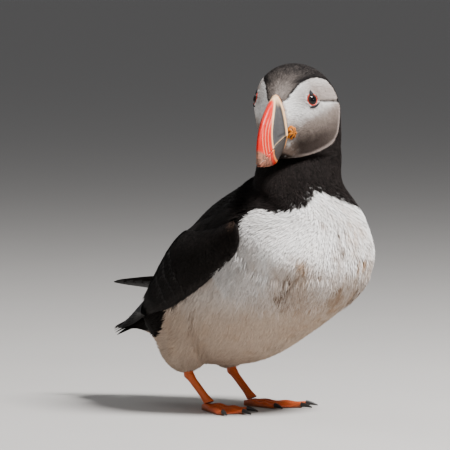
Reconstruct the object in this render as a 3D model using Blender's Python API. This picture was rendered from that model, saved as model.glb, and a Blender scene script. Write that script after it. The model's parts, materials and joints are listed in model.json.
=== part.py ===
"""Atlantic puffin (Fratercula arctica), a standing adult in breeding plumage, life size and still.

Metres, +Z up.  The bird's body faces -Y, its left side is +X and its head is turned to its right.  The origin
is on the floor under the middle of the bounding box.  Lengths are written in millimetres and scaled by MM.

Two frames are used.  In the body frame a place is (forward, left, height).  In the head frame a place is
(ahead, left, up) from the root of the culmen, level with the ground and turned with the head.
"""
import math

import bmesh
import bpy
import numpy as np

MM = 0.001
GAP = 0.3                     # clearance between pieces that touch on the live bird

# ---------------------------------------------------------------- driving dimensions, millimetres and degrees
HEAD_TURN = -73.0             # heading of the head, to the bird's right
CULMEN_ROOT = (33.5, -26.5, 190.5)
FLOOR_CENTRE = (-23.0, -0.25)  # forward and left, under the middle of the bounding box
BODY_SIDES = 28               # facets round the trunk
RING_STEP = 0.34              # spacing of the rings, in sections

# Cross-sections from the tail root to the bill.  Each is: forward, left and height of its centre, pitch of the
# spine there, heading of the spine, half width, depth above and below the centre, and how much narrower the
# section is above its centre than below.
TRUNK_SECTIONS = (
    (-86.0, 0.0, 53.0, 26.0, 0.0, 9.0, 6.0, 16.5, 0.00),      # tail root
    (-75.0, 0.0, 53.0, 24.0, 0.0, 21.0, 12.5, 28.5, 0.00),    # tail coverts and vent
    (-56.0, 0.0, 59.0, 28.0, 0.0, 32.0, 24.5, 38.0, 0.00),    # rump
    (-30.4, 0.0, 71.5, 31.0, 0.0, 41.5, 37.8, 49.8, 0.00),    # flank
    (-4.2, 0.0, 85.1, 34.0, 0.0, 47.1, 45.2, 51.1, 0.00),     # belly
    (26.7, 0.0, 109.3, 51.0, 0.0, 48.6, 42.2, 53.2, 0.00),    # breast
    (34.0, 1.8, 125.2, 65.0, -6.0, 34.2, 39.2, 40.2, 0.00),   # shoulder
    (29.8, -1.2, 139.1, 80.0, -22.0, 27.2, 25.6, 22.4, 0.00), # base of the neck
)
# The same for the neck and head, in the head frame: ahead, up, pitch, half width, depths, narrowing.
HEAD_SECTIONS = (
    (-36.2, -35.7, 84.0, 24.7, 25.4, 23.9, 0.03),             # neck
    (-35.8, -26.7, 66.0, 24.4, 25.0, 28.1, -0.07),            # nape and throat
    (-30.0, -14.7, 46.0, 24.0, 28.6, 32.2, -0.22),            # widest part of the head
    (-19.0, -9.5, 28.0, 22.0, 30.2, 30.3, -0.27),             # eyes and cheeks
    (-8.0, -11.0, 13.0, 16.9, 26.6, 25.3, -0.26),             # lores
    (0.5, -17.0, 0.0, 8.2, 17.0, 17.5, 0.06),                 # base of the bill
)
NECK_CUT = (6.10, 7.60)       # where the trunk, neck and head part, in sections counted from the tail root


def heading_axes(heading):
    """Unit vectors ahead and left, in body-frame (forward, left, height), for a heading in degrees."""
    a = math.radians(heading)
    return np.array([math.cos(a), math.sin(a), 0.0]), np.array([-math.sin(a), math.cos(a), 0.0])


def from_head(ahead, left, up):
    """A place in the head frame, given in the body frame."""
    fore, side = heading_axes(HEAD_TURN)
    ahead, left, up = (np.asarray(v, float) for v in (ahead, left, up))
    base = np.array(CULMEN_ROOT)
    return base + ahead[..., None] * fore + left[..., None] * side + up[..., None] * np.array([0.0, 0.0, 1.0])


def world(points):
    """Body-frame millimetres to metres about the floor centre, with forward along -Y and left along +X."""
    points = np.asarray(points, float) - np.array([*FLOOR_CENTRE, 0.0])
    return np.stack([points[..., 1], -points[..., 0], points[..., 2]], axis=-1) * MM


def body_sections():
    """All sections as one array: centre (3), pitch, heading, half width, depth above, depth below, narrowing."""
    rows = [list(row) for row in TRUNK_SECTIONS]
    for ahead, up, pitch, wide, above, below, narrow in HEAD_SECTIONS:
        centre = from_head(ahead, 0.0, up)
        rows.append([*centre, pitch, HEAD_TURN, wide, above, below, narrow])
    rows[len(TRUNK_SECTIONS)][4] = 0.55 * HEAD_TURN
    return np.array(rows)


def through(rows, t):
    """Catmull-Rom curve through equally spaced rows, read at parameters t from 0 to len(rows) - 1."""
    t = np.asarray(t, float)
    padded = np.vstack([2 * rows[0] - rows[1], rows, 2 * rows[-1] - rows[-2]])
    i = np.clip(np.floor(t).astype(int), 0, len(rows) - 2)
    f = (t - i)[..., None]
    a, b, c, d = (padded[i + k] for k in range(4))
    return 0.5 * (2 * b + (c - a) * f + (2 * a - 5 * b + 4 * c - d) * f ** 2 + (3 * b - a - 3 * c + d) * f ** 3)


SECTIONS = body_sections()
T_END = len(SECTIONS) - 1.0


def body_point(t, phi):
    """Body surface: section t is an oval, phi degrees round it from the back (0) towards the bird's left (90)."""
    t, phi = np.broadcast_arrays(np.asarray(t, float), np.radians(phi))
    row = through(SECTIONS, t)
    pitch, turn = np.radians(row[..., 3]), np.radians(row[..., 4])
    side = np.stack([-np.sin(turn), np.cos(turn), 0 * turn], axis=-1)
    rise = np.stack([-np.sin(pitch) * np.cos(turn), -np.sin(pitch) * np.sin(turn), np.cos(pitch)], axis=-1)
    depth = np.where(np.cos(phi) > 0, row[..., 6], row[..., 7])
    across = row[..., 5] * np.sin(phi) * (1 - row[..., 8] * np.cos(phi))
    return row[..., :3] + side * across[..., None] + rise * (depth * np.cos(phi))[..., None]


def body_axis(t):
    """Unit direction of the spine at section t, from tail to bill."""
    row = through(SECTIONS, t)
    pitch, turn = np.radians(row[..., 3]), np.radians(row[..., 4])
    return np.stack([np.cos(pitch) * np.cos(turn), np.cos(pitch) * np.sin(turn), np.sin(pitch)], axis=-1)


def body_normal(t, phi):
    """Outward unit normal of the body surface, from its two slopes."""
    along = body_point(np.asarray(t) + 0.01, phi) - body_point(np.asarray(t) - 0.01, phi)
    around = body_point(t, np.asarray(phi) + 0.5) - body_point(t, np.asarray(phi) - 0.5)
    normal = np.cross(along, around)
    return normal / np.linalg.norm(normal, axis=-1, keepdims=True)


# ---------------------------------------------------------------- making solids
def clear_scene():
    for obj in list(bpy.data.objects):
        bpy.data.objects.remove(obj, do_unlink=True)


def collection(name):
    made = bpy.data.collections.new(name)
    bpy.context.scene.collection.children.link(made)
    return made


def material(name, colour, roughness, metallic=0.0):
    made = bpy.data.materials.new(name)
    made.use_nodes = True
    shader = made.node_tree.nodes["Principled BSDF"]
    shader.inputs["Base Color"].default_value = (*colour, 1.0)
    shader.inputs["Roughness"].default_value = roughness
    shader.inputs["Metallic"].default_value = metallic
    return made


def mesh_object(name, verts, faces, group, finish=None, smooth=True):
    """A named object from body-frame millimetre points."""
    mesh = bpy.data.meshes.new(name)
    mesh.from_pydata(world(verts).tolist(), [], faces)
    work = bmesh.new()
    work.from_mesh(mesh)
    bmesh.ops.recalc_face_normals(work, faces=work.faces)
    work.to_mesh(mesh)
    work.free()
    obj = bpy.data.objects.new(name, mesh)
    group.objects.link(obj)
    if finish is not None:
        mesh.materials.append(finish)
    if smooth:
        mesh.shade_smooth()
        mesh.set_sharp_from_angle(angle=math.radians(50))
    return obj


def tube_faces(rings, sides):
    """Quads between rings of points, and a flat face on each end."""
    quads = []
    for r in range(rings - 1):
        for s in range(sides):
            n = (s + 1) % sides
            quads.append((r * sides + s, r * sides + n, (r + 1) * sides + n, (r + 1) * sides + s))
    first = tuple(range(sides))
    last = tuple((rings - 1) * sides + s for s in range(sides))
    return quads + [first[::-1], last]


def loft(name, rings, group, finish=None):
    """A closed solid through an array of rings, (rings, sides, 3)."""
    rings = np.asarray(rings)
    return mesh_object(name, rings.reshape(-1, 3), tube_faces(*rings.shape[:2]), group, finish)


def slab(name, outer, inner, group, finish=None):
    """A closed solid between two grids of points with the same rows and columns."""
    rows, cols = outer.shape[:2]
    at = np.arange(rows * cols).reshape(rows, cols)
    faces = []
    for grid, turn in ((at, 1), (at + rows * cols, -1)):
        corners = np.stack([grid[:-1, :-1], grid[1:, :-1], grid[1:, 1:], grid[:-1, 1:]], axis=-1)
        faces += [tuple(f[::turn]) for f in corners.reshape(-1, 4).tolist()]
    rim = np.concatenate([at[0, :-1], at[:-1, -1], at[-1, :0:-1], at[:0:-1, 0]]).tolist()
    for a, b in zip(rim, rim[1:] + rim[:1]):
        faces.append((a, b, b + rows * cols, a + rows * cols))
    return mesh_object(name, np.concatenate([outer.reshape(-1, 3), inner.reshape(-1, 3)]), faces, group, finish)


def cut(obj, *cutters):
    """Take each cutter away from an object."""
    for cutter in cutters:
        cutter.hide_render = True
        cutter.display_type = "WIRE"
        step = obj.modifiers.new("less " + cutter.name, "BOOLEAN")
        step.operation = "DIFFERENCE"
        step.solver = "EXACT"
        step.object = cutter


def body_rings(t_start, t_end, lift=0.0):
    """Rings of the body surface between two sections, pushed out by lift."""
    t = np.linspace(t_start, t_end, 1 + round((t_end - t_start) / RING_STEP))[:, None]
    phi = np.arange(BODY_SIDES)[None, :] * 360.0 / BODY_SIDES
    return body_point(t, phi) + lift * body_normal(t, phi)


def body_length(name, t_start, t_end, group, finish):
    """A length of the body; past its first cut it starts a gap further on, so that the pieces only touch."""
    rings = body_rings(t_start, t_end)
    if t_start > 0:
        rings[0] += GAP * body_axis(t_start)
    return loft(name, rings, group, finish)


# ---------------------------------------------------------------- wings
WING_FRONT, WING_REAR = 5.00, 1.80        # the folded wing reaches from the wrist to the rump, in sections
WING_WRIST = 78.0                         # angle of the wrist
WING_TOP = 20.0                           # angle from the back where it goes under the shoulder feathers
WING_LOW = 95.8                           # angle of its leading edge along the flank
WING_RISE = 0.62                          # how far back its upper edge takes to reach WING_TOP
WING_ROUND = 0.16                         # how much of its length the rounded wrist takes
WING_EDGE, WING_BULGE = 0.7, 2.4          # thickness at the edges and added in the middle
WING_WRIST_BULGE = 2.2                    # added again at the wrist
WING_LIFT = 0.9                           # how far its rear end stands off the rump


def wing_grid(side, rows=15, cols=11):
    """Outer and inner grids of a folded wing, side +1 left or -1 right.

    s runs from wrist (0) to rear (1) and v from the upper edge (0) to the leading edge (1).  The width opens
    as a quarter ellipse behind the wrist, and the thickness is a sine hump across and along the wing.
    """
    s = np.linspace(0.0, 1.0, rows)[:, None]
    v = np.linspace(0.0, 1.0, cols)[None, :]
    opening = np.sqrt(np.clip(1 - (1 - np.clip(s / WING_ROUND, 0, 1)) ** 2, 0.02, 1))
    closing = 1 - 0.35 * np.clip((s - 0.72) / 0.28, 0, 1) ** 2
    rise = np.clip(s / WING_RISE, 0, 1)
    top = WING_WRIST + (WING_TOP - WING_WRIST) * opening * (0.24 + 0.76 * rise * rise * (3 - 2 * rise))
    low = WING_WRIST + (WING_LOW - WING_WRIST) * opening * closing
    phi = side * (top + (low - top) * v)
    t = WING_FRONT + (WING_REAR - WING_FRONT) * s + 0.35 * (v - 0.5) * s
    hump = np.sin(np.pi * v) ** 0.6 * np.sin(np.pi * (0.12 + 0.80 * s)) ** 0.7
    wrist_hump = WING_WRIST_BULGE * np.exp(-((s - 0.13) / 0.12) ** 2) * np.sin(np.pi * v) ** 0.7
    away = GAP + WING_LIFT * np.clip((s - 0.62) / 0.38, 0, 1) ** 2 + 0 * v
    thick = WING_EDGE + WING_BULGE * hump + wrist_hump
    normal = body_normal(t, phi)
    surface = body_point(t, phi)
    outer = surface + normal * (away + thick)[..., None]
    inner = surface + normal * away[..., None]
    return outer, inner


# Long flight feathers past the wing: root, middle and tip; widths there; directions across the blade there.
PRIMARIES = {
    "right": (((-72.0, -25.5, 59.5), (-88.5, -16.6, 53.2), (-107.4, -8.4, 47.2)), (20.0, 12.5, 2.2),
              ((0.49, -0.75, -0.43), (0.20, -0.75, -0.60), (0.1, -0.85, -0.5))),
    "left": (((-72.0, 26.4, 69.0), (-93.0, 14.0, 72.0), (-118.9, -1.0, 71.0)), (28.0, 18.5, 2.2),
             ((0.49, 0.75, -0.43), (0.20, 0.78, -0.60), (0.0, 0.86, -0.50))),
}
PRIMARY_THICK = 1.6


def blade(path, widths, across, rings=12, sides=10):
    """Rings of a long blade: lens sections, slanted as across says, along a quadratic curve."""
    u = np.linspace(0.0, 1.0, rings)[:, None]
    a, b, c = (np.array(p) for p in path)
    bend = 2 * b - 0.5 * (a + c)
    centre = (1 - u) ** 2 * a + 2 * u * (1 - u) * bend + u ** 2 * c
    along = np.gradient(centre, axis=0)
    along /= np.linalg.norm(along, axis=1, keepdims=True)
    flat = through(np.array(across), 2 * u[:, 0])
    flat /= np.linalg.norm(flat, axis=1, keepdims=True)
    up = np.cross(along, flat)
    up /= np.linalg.norm(up, axis=1, keepdims=True)
    width = through(np.array(widths, float)[:, None], 2 * u[:, 0])
    angle = 2 * np.pi * (np.arange(sides) + 0.5) / sides
    w = 0.5 * width[:, :, None] * np.cos(angle)[None, :, None]
    h = 0.5 * PRIMARY_THICK * np.sin(angle)[None, :, None] * np.ones_like(w)
    return centre[:, None, :] + flat[:, None, :] * w + up[:, None, :] * h


# ---------------------------------------------------------------- tail
TAIL_ROOT = (-89.1, 0.0, 56.4)
TAIL_LENGTH = 24.4                        # past the coverts
TAIL_THICK = 1.6
TAIL_PITCH = 24.5
TAIL_ARCH = 9.5                           # how far its sides droop
TAIL_HALF_ROOT, TAIL_HALF_SPREAD = 6.0, 6.5    # half width at the root, and added towards the tips
TAIL_GRADED = 0.5                         # how much shorter the side feathers are


def tail_rings(rings=10, sides=18):
    """Lens sections across a rounded fan: the side feathers are shorter than the middle ones."""
    u = np.linspace(0.0, 1.0, rings)[:, None]
    angle = 2 * np.pi * (np.arange(sides) + 0.5) / sides
    across = np.cos(angle)[None, :]
    half = TAIL_HALF_ROOT + TAIL_HALF_SPREAD * np.sin(0.5 * np.pi * u)
    reach = TAIL_LENGTH * u * (1 - TAIL_GRADED * np.abs(across) ** 2.2 * u)
    drop = math.tan(math.radians(TAIL_PITCH))
    forward = TAIL_ROOT[0] - reach
    left = half * across
    thick = TAIL_THICK * (1.6 - 0.8 * u)
    height = TAIL_ROOT[2] - reach * drop + 0.5 * thick * np.sin(angle)[None, :] - TAIL_ARCH * across ** 2
    return np.stack([forward, left, height], axis=-1)


# ---------------------------------------------------------------- bill
BILL_PITCH = -20.0                        # the bill points this far below level
BILL_BASE = 0.9                           # its root face, ahead of the face of the head
CULMEN_REACH, CULMEN_DROP = 38.8, 28.5    # the arch of the upper ridge, along and across the bill
CULMEN_ARCH = 1.88                        # 2 is an ellipse
MOUTH_CORNER = (9.4, -21.3)
MOUTH_SAG = 1.6                           # how far the mouth line curves away from straight
MOUTH_GAP = 0.48                          # between the halves of the bill
CHIN = (11.8, -32.0)
GONYS = ((13.0, -40.5), (25.0, -36.5))    # pulls the lower edge round
LOWER_TIP = (38.0, -30.0)
BILL_HALF_WIDTH, TIP_HALF_WIDTH = 8.4, 1.1


def from_bill(out, left, up):
    """A place along, across and above the bill's own axis, given in the body frame."""
    a = math.radians(BILL_PITCH)
    ahead = out * math.cos(a) - up * math.sin(a)
    level = out * math.sin(a) + up * math.cos(a)
    return from_head(ahead + BILL_BASE, left, level)


def culmen(q):
    """The upper ridge, from its root (q 0) to the tip (1): a superellipse arch."""
    out = CULMEN_REACH * np.sin(0.5 * np.pi * q)
    rest = np.clip(1 - (out / CULMEN_REACH) ** CULMEN_ARCH, 0, 1) ** (1 / CULMEN_ARCH)
    return np.stack([out, CULMEN_DROP * (rest - 1)], axis=-1)


def mouth_line(q, tip):
    """The edge where the halves meet, curving slightly from the corner of the mouth to a tip."""
    start, end = np.array(MOUTH_CORNER), np.array(tip)
    sag = np.stack([0 * q, MOUTH_SAG * np.sin(np.pi * q)], axis=-1)
    return start + (end - start) * q[..., None] + sag


def gonys(q):
    """The lower edge, a cubic curve from the chin to the lower tip."""
    points = [np.array(p) for p in (CHIN, *GONYS, LOWER_TIP)]
    q = q[..., None]
    weights = ((1 - q) ** 3, 3 * q * (1 - q) ** 2, 3 * q * q * (1 - q), q ** 3)
    return sum(w * p for w, p in zip(weights, points))


def bill_half(edge, ridge, rings, sides, round_off):
    """Rings of one half of the bill: up the left side from the mouth edge, over the ridge and down the right."""
    q = np.linspace(0.0, 0.985, rings)[:, None]
    climb = np.linspace(-1.0, 1.0, sides)[None, :]
    j = 1 - np.abs(climb) + 0 * q
    spot = edge(q + 0 * climb) * (1 - j[..., None]) + ridge(q + 0 * climb) * j[..., None]
    widest = TIP_HALF_WIDTH + (BILL_HALF_WIDTH - TIP_HALF_WIDTH) * (1 - q) ** 0.85
    shape = (1 - round_off * j ** 1.25) * np.sqrt(np.clip(1 - j ** 6, 0.0, 1))
    left = -np.sign(climb) * widest * shape
    return from_bill(spot[..., 0], left, spot[..., 1])


def bill_upper_rings(rings=12, sides=17):
    tip = culmen(np.array(1.0))
    return bill_half(lambda q: mouth_line(q, tip), culmen, rings, sides, 0.72)


def bill_lower_rings(rings=10, sides=13):
    def edge(q):
        return mouth_line(q, LOWER_TIP) - np.array([0.0, MOUTH_GAP])
    return bill_half(edge, gonys, rings, sides, 0.45)


# ---------------------------------------------------------------- eyes and gape rosettes
EYE_AT = (-12.7, 15.6, -3.6)              # ahead, to either side, up, in the head frame
EYE_RADIUS = 4.5
ROSETTE_AT = (-1.3, 8.9, -22.2)
ROSETTE_SIZE = (3.3, 2.6, 4.0)            # half sizes ahead, across and up


def ball(name, centre, half_sizes, heading, group, finish=None, segments=14, rings=9):
    """An ellipsoid turned to a heading."""
    bpy.ops.mesh.primitive_uv_sphere_add(segments=segments, ring_count=rings, radius=MM)
    obj = bpy.context.object
    obj.name = obj.data.name = name
    for owner in list(obj.users_collection):
        owner.objects.unlink(obj)
    group.objects.link(obj)
    obj.scale = (half_sizes[1], half_sizes[0], half_sizes[2])
    obj.rotation_euler = (0.0, 0.0, math.radians(heading))
    obj.location = tuple(world(centre))
    obj.data.shade_smooth()
    if finish is not None:
        obj.data.materials.append(finish)
    return obj


# ---------------------------------------------------------------- legs and feet
# Each stop of the thigh is forward, outwards, height and half length.
THIGH = ((-43.0, 19.0, 44.0, 18.5), (-44.5, 20.0, 30.0, 16.5), (-43.0, 20.0, 20.4, 8.5))
ANKLE = (-40.5, 20.0, 20.1)
TOE_BASE = (-24.5, 20.0, 5.6)
TARSUS_HALF = (3.4, 2.4)                  # half sizes fore-and-aft and across
FOOT_TURN = 12.0                          # toes out
TOES = ((-24.0, 25.0), (0.0, 34.5), (20.0, 33.0))    # angle to the middle toe (inner is minus), length
CLAW_LENGTH = 6.0
WEB_THICK, TOE_HEIGHT, TOE_HALF = 1.0, 3.0, 1.9
WEB_HOLLOW = 5.0                          # how deep the web's margin curves in between two toes
HEEL_LENGTH = 5.0                         # from the toe base back to where the sole starts


def level_tube(stops, sides=14, rings_between=4):
    """Level oval rings through stops of (forward, left, height, half length, half width)."""
    rows = through(np.array(stops, float), np.linspace(0, len(stops) - 1, rings_between * (len(stops) - 1) + 1))
    angle = 2 * np.pi * np.arange(sides) / sides
    ring = np.stack([np.cos(angle), np.sin(angle), 0 * angle], axis=-1)
    sizes = np.stack([rows[:, 3], rows[:, 4], 0 * rows[:, 3]], axis=-1)
    return rows[:, None, :3] + ring[None] * sizes[:, None, :]


def foot_edge(angle):
    """How far the foot reaches at an angle: to the toe tips, with hollow web margins between them."""
    axes = np.array([a for a, _ in TOES])
    lengths = np.array([length for _, length in TOES])
    edge = np.interp(angle, axes, lengths)
    for a, b in zip(axes[:-1], axes[1:]):
        f = np.clip((angle - a) / (b - a), 0, 1)
        edge = edge - WEB_HOLLOW * np.sin(np.pi * f) ** 0.8
    outside = np.clip(np.abs(angle - 0.5 * (axes[0] + axes[-1])) - 0.5 * (axes[-1] - axes[0]), 0, None)
    return edge - 0.35 * outside ** 1.4


def foot_frame(side):
    """Toe base on the floor, and the directions along the middle toe and outwards, in the body frame."""
    a = math.radians(FOOT_TURN)
    base = np.array([TOE_BASE[0], side * TOE_BASE[1], 0.0])
    along = np.array([math.cos(a), side * math.sin(a), 0.0])
    out = np.array([-math.sin(a), side * math.cos(a), 0.0])
    return base, along, out


def foot_height(reach, angle):
    """Top of the foot: a thin web with a rounded ridge along each toe, thicker at its joints and the base."""
    ridge = np.zeros_like(reach)
    for axis, length in TOES:
        off = reach * np.sin(np.radians(angle - axis))
        joints = 1 + 0.16 * np.cos(2 * np.pi * reach / (length / 3.0))
        taper = 1 - 0.45 * np.clip(reach / length, 0, 1)
        ridge = np.maximum(ridge, TOE_HEIGHT * taper * joints * np.exp(-(off / TOE_HALF) ** 2))
    heel = 0.4 + 0.6 * np.clip((reach - 1.0) / 4.0, 0, 1)
    return WEB_THICK + heel * (ridge + 1.1 * np.exp(-(reach / 7.0) ** 2))


def foot_grids(side, rows=9, cols=21):
    """Top and flat sole of a webbed foot, fanned out from behind the toe base."""
    q = np.linspace(0.0, 1.0, rows)[:, None]
    low, high = TOES[0][0] - 5.0, TOES[-1][0] + 5.0
    angle = (low + (high - low) * np.linspace(0, 1, cols))[None, :] + 0 * q
    reach = 1.0 + (foot_edge(angle) - 1.0) * q
    base, along, out = foot_frame(side)
    ahead = reach * np.cos(np.radians(angle)) - HEEL_LENGTH * (1 - q)
    away = (reach + HEEL_LENGTH) * np.sin(np.radians(angle))
    flat = base + ahead[..., None] * along + away[..., None] * out
    top = flat + foot_height(reach, angle)[..., None] * np.array([0.0, 0.0, 1.0])
    if side < 0:
        return top[:, ::-1], flat[:, ::-1]
    return top, flat


def claw_rings(side, toe, rings=6, sides=8):
    """A short claw that carries on from the toe tip and curves down to the floor."""
    axis, length = TOES[toe]
    base, along, out = foot_frame(side)
    a = math.radians(axis)
    aim = along * math.cos(a) + out * math.sin(a)
    foot = base + aim * length + out * HEEL_LENGTH * math.sin(a)
    u = np.linspace(0.0, 1.0, rings)[:, None]
    radius = 1.25 * (1 - u) ** 0.7 + 0.28
    height = 1.85 - 1.35 * u ** 1.8
    up = np.array([0.0, 0.0, 1.0])
    centre = foot + aim * (GAP + 0.1 + CLAW_LENGTH * u) + up * height
    cross = np.cross(up, aim)
    angle = 2 * np.pi * (np.arange(sides) + 0.5) / sides
    ring = cross * np.cos(angle)[:, None] + up * np.sin(angle)[:, None]
    return centre[:, None, :] + radius[:, None, :] * ring[None]


# ---------------------------------------------------------------- the bird
COLOURS = {                               # colour, roughness
    "white plumage": ((0.78, 0.75, 0.71), 0.9),
    "black plumage": ((0.020, 0.017, 0.016), 0.7),
    "face plumage": ((0.52, 0.50, 0.47), 0.9),
    "bill horn": ((0.80, 0.16, 0.05), 0.4),
    "eye": ((0.012, 0.010, 0.012), 0.05),
    "rosette skin": ((0.80, 0.42, 0.03), 0.6),
    "leg skin": ((0.80, 0.17, 0.03), 0.55),
    "claw horn": ((0.02, 0.018, 0.016), 0.35),
}


def make_trunk_and_head(group, cutters, finish):
    low, high = NECK_CUT
    body_length("trunk", 0.0, low, group, finish["white plumage"])
    body_length("neck", low, high, group, finish["black plumage"])
    head = body_length("head", high, T_END, group, finish["face plumage"])
    upper = loft("bill_upper", bill_upper_rings(), group, finish["bill horn"])
    lower = loft("bill_lower", bill_lower_rings(), group, finish["bill horn"])
    for side, name in ((1, "left"), (-1, "right")):
        eye = from_head(EYE_AT[0], side * EYE_AT[1], EYE_AT[2])
        gape = from_head(ROSETTE_AT[0], side * ROSETTE_AT[1], ROSETTE_AT[2])
        socket_size = (EYE_RADIUS + GAP,) * 3
        seat_size = tuple(size + GAP for size in ROSETTE_SIZE)
        ball("eye_" + name, eye, (EYE_RADIUS,) * 3, HEAD_TURN, group, finish["eye"])
        ball("rosette_" + name, gape, ROSETTE_SIZE, HEAD_TURN, group, finish["rosette skin"])
        socket = ball("socket_" + name, eye, socket_size, HEAD_TURN, cutters)
        seat = ball("seat_" + name, gape, seat_size, HEAD_TURN, cutters)
        cut(head, socket, seat)
        cut(upper, seat)
        cut(lower, seat)


def make_wing(side, name, group, finish):
    slab("wing_" + name, *wing_grid(side), group, finish["black plumage"])
    loft("primaries_" + name, blade(*PRIMARIES[name]), group, finish["black plumage"])


def make_leg(side, name, group, belly, finish):
    stops = [(forward, side * left, height, size, 0.9 * size) for forward, left, height, size in THIGH]
    thigh = loft("thigh_" + name, level_tube(stops), group, finish["white plumage"])
    cut(thigh, belly)
    ankle, base = np.array(ANKLE), np.array(TOE_BASE)
    stops = []
    for place, size in ((ankle, 1.0), (0.5 * (ankle + base), 0.85), (base, 1.05)):
        stops.append((place[0], side * place[1], place[2], size * TARSUS_HALF[0], size * TARSUS_HALF[1]))
    loft("tarsus_" + name, level_tube(stops, sides=10, rings_between=3), group, finish["leg skin"])
    slab("foot_" + name, *foot_grids(side), group, finish["leg skin"])
    for toe, toe_name in enumerate(("inner", "middle", "outer")):
        loft(f"claw_{name}_{toe_name}", claw_rings(side, toe), group, finish["claw horn"])


def main():
    clear_scene()
    group = collection("atlantic_puffin")
    cutters = collection("cutters")
    finish = {name: material(name, *values) for name, values in COLOURS.items()}
    make_trunk_and_head(group, cutters, finish)
    loft("tail", tail_rings(), group, finish["black plumage"])
    belly = loft("belly_clearance", body_rings(0.0, NECK_CUT[0], lift=GAP), cutters)
    for side, name in ((1, "left"), (-1, "right")):
        make_wing(side, name, group, finish)
        make_leg(side, name, group, belly, finish)


main()
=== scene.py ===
"""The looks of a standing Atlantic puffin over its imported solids: skin, plumage, bill, eyes, legs and feet.

Lengths are millimetres, in three frames.  The body frame is (forward, left, height) above the floor.  The
head frame is (ahead, left, up) from the root of the culmen, turned with the head.  The bill frame is
(out, left, up) along the bill's own axis.  Every surface is worked out in the body frame, and world() places
it.

A place on the body is (t, phi): t counts cross-sections from the tail root to the bill, and phi is degrees
round the section from the back (0) towards the bird's left (90).
"""
import json
import math

import bpy
import numpy as np
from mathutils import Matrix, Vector

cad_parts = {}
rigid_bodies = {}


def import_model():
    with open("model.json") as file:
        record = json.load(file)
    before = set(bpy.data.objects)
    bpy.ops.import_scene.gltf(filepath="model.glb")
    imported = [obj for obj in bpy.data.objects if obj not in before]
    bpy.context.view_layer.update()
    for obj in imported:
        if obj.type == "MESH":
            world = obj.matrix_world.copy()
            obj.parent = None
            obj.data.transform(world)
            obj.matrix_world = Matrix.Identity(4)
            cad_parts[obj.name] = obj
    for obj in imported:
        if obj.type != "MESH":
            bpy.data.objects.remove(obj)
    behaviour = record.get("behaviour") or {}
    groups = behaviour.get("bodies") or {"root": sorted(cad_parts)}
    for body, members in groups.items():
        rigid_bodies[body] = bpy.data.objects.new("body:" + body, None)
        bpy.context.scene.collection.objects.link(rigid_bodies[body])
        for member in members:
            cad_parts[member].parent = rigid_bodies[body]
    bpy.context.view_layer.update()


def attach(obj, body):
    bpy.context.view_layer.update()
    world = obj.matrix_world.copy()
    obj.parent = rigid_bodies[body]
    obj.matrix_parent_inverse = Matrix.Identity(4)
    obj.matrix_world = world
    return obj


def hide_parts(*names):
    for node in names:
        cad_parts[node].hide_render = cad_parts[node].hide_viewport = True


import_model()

MM = 0.001
UP = np.array([0.0, 0.0, 1.0])
HEAD_TURN = -73.0
CULMEN_ROOT = (33.5, -26.5, 190.5)
FLOOR_CENTRE = (-23.0, -0.25)
SIDES = ((1, "left"), (-1, "right"))
LATTICE = 32                              # random numbers each way before noise() repeats

# Cross-sections from the tail root to the bill.  Each is: forward, left and height of its centre, pitch and
# heading of the spine there, half width, depth above and below the centre, and how much narrower the top is.
TRUNK_SECTIONS = (
    (-86.0, 0.0, 53.0, 26.0, 0.0, 9.0, 6.0, 16.5, 0.00),      # tail root
    (-75.0, 0.0, 53.0, 24.0, 0.0, 21.0, 12.5, 28.5, 0.00),    # tail coverts and vent
    (-56.0, 0.0, 59.0, 28.0, 0.0, 32.0, 24.5, 38.0, 0.00),    # rump
    (-30.4, 0.0, 71.5, 31.0, 0.0, 41.5, 37.8, 49.8, 0.00),    # flank
    (-4.2, 0.0, 85.1, 34.0, 0.0, 47.1, 45.2, 51.1, 0.00),     # belly
    (26.7, 0.0, 109.3, 51.0, 0.0, 48.6, 42.2, 53.2, 0.00),    # breast
    (34.0, 1.8, 125.2, 65.0, -6.0, 34.2, 39.2, 40.2, 0.00),   # shoulder
    (29.8, -1.2, 139.1, 80.0, -22.0, 27.2, 25.6, 22.4, 0.00),  # base of the neck
)
# Those of the head are in its own frame: ahead and up of the centre, pitch, half width, depths and narrowing.
HEAD_SECTIONS = (
    (-36.2, -35.7, 84.0, 24.7, 25.4, 23.9, 0.03),             # neck
    (-35.8, -26.7, 66.0, 24.4, 25.0, 28.1, -0.07),            # nape and throat
    (-30.0, -14.7, 46.0, 24.0, 28.6, 32.2, -0.22),            # widest part of the head
    (-19.0, -9.5, 28.0, 22.0, 30.2, 30.3, -0.27),             # eyes and cheeks
    (-8.0, -11.0, 13.0, 16.9, 26.6, 25.3, -0.26),             # lores
    (0.5, -17.0, 0.0, 8.2, 17.0, 17.5, 0.06),                 # base of the bill
)


# ---------------------------------------------------------------- small helpers
def unit(vectors):
    """Vectors brought to length 1."""
    return vectors / np.maximum(np.linalg.norm(vectors, axis=-1, keepdims=True), 1e-9)


def dot(a, b):
    """Dot products along the last axis."""
    return (a * b).sum(axis=-1)


def ease(x, start, end):
    """0 before start, 1 after end and a smooth S between; start may be the larger."""
    f = np.clip((np.asarray(x, float) - start) / (end - start), 0, 1)
    return f * f * (3 - 2 * f)


def hill(x, centre, width):
    """1 at the centre, falling off both ways as a bell."""
    return np.exp(-((x - centre) / width) ** 2)


def mix(a, b, f):
    """Colour a turned into colour b by f."""
    f = np.asarray(f)[..., None]
    return np.asarray(a) * (1 - f) + np.asarray(b) * f


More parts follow.
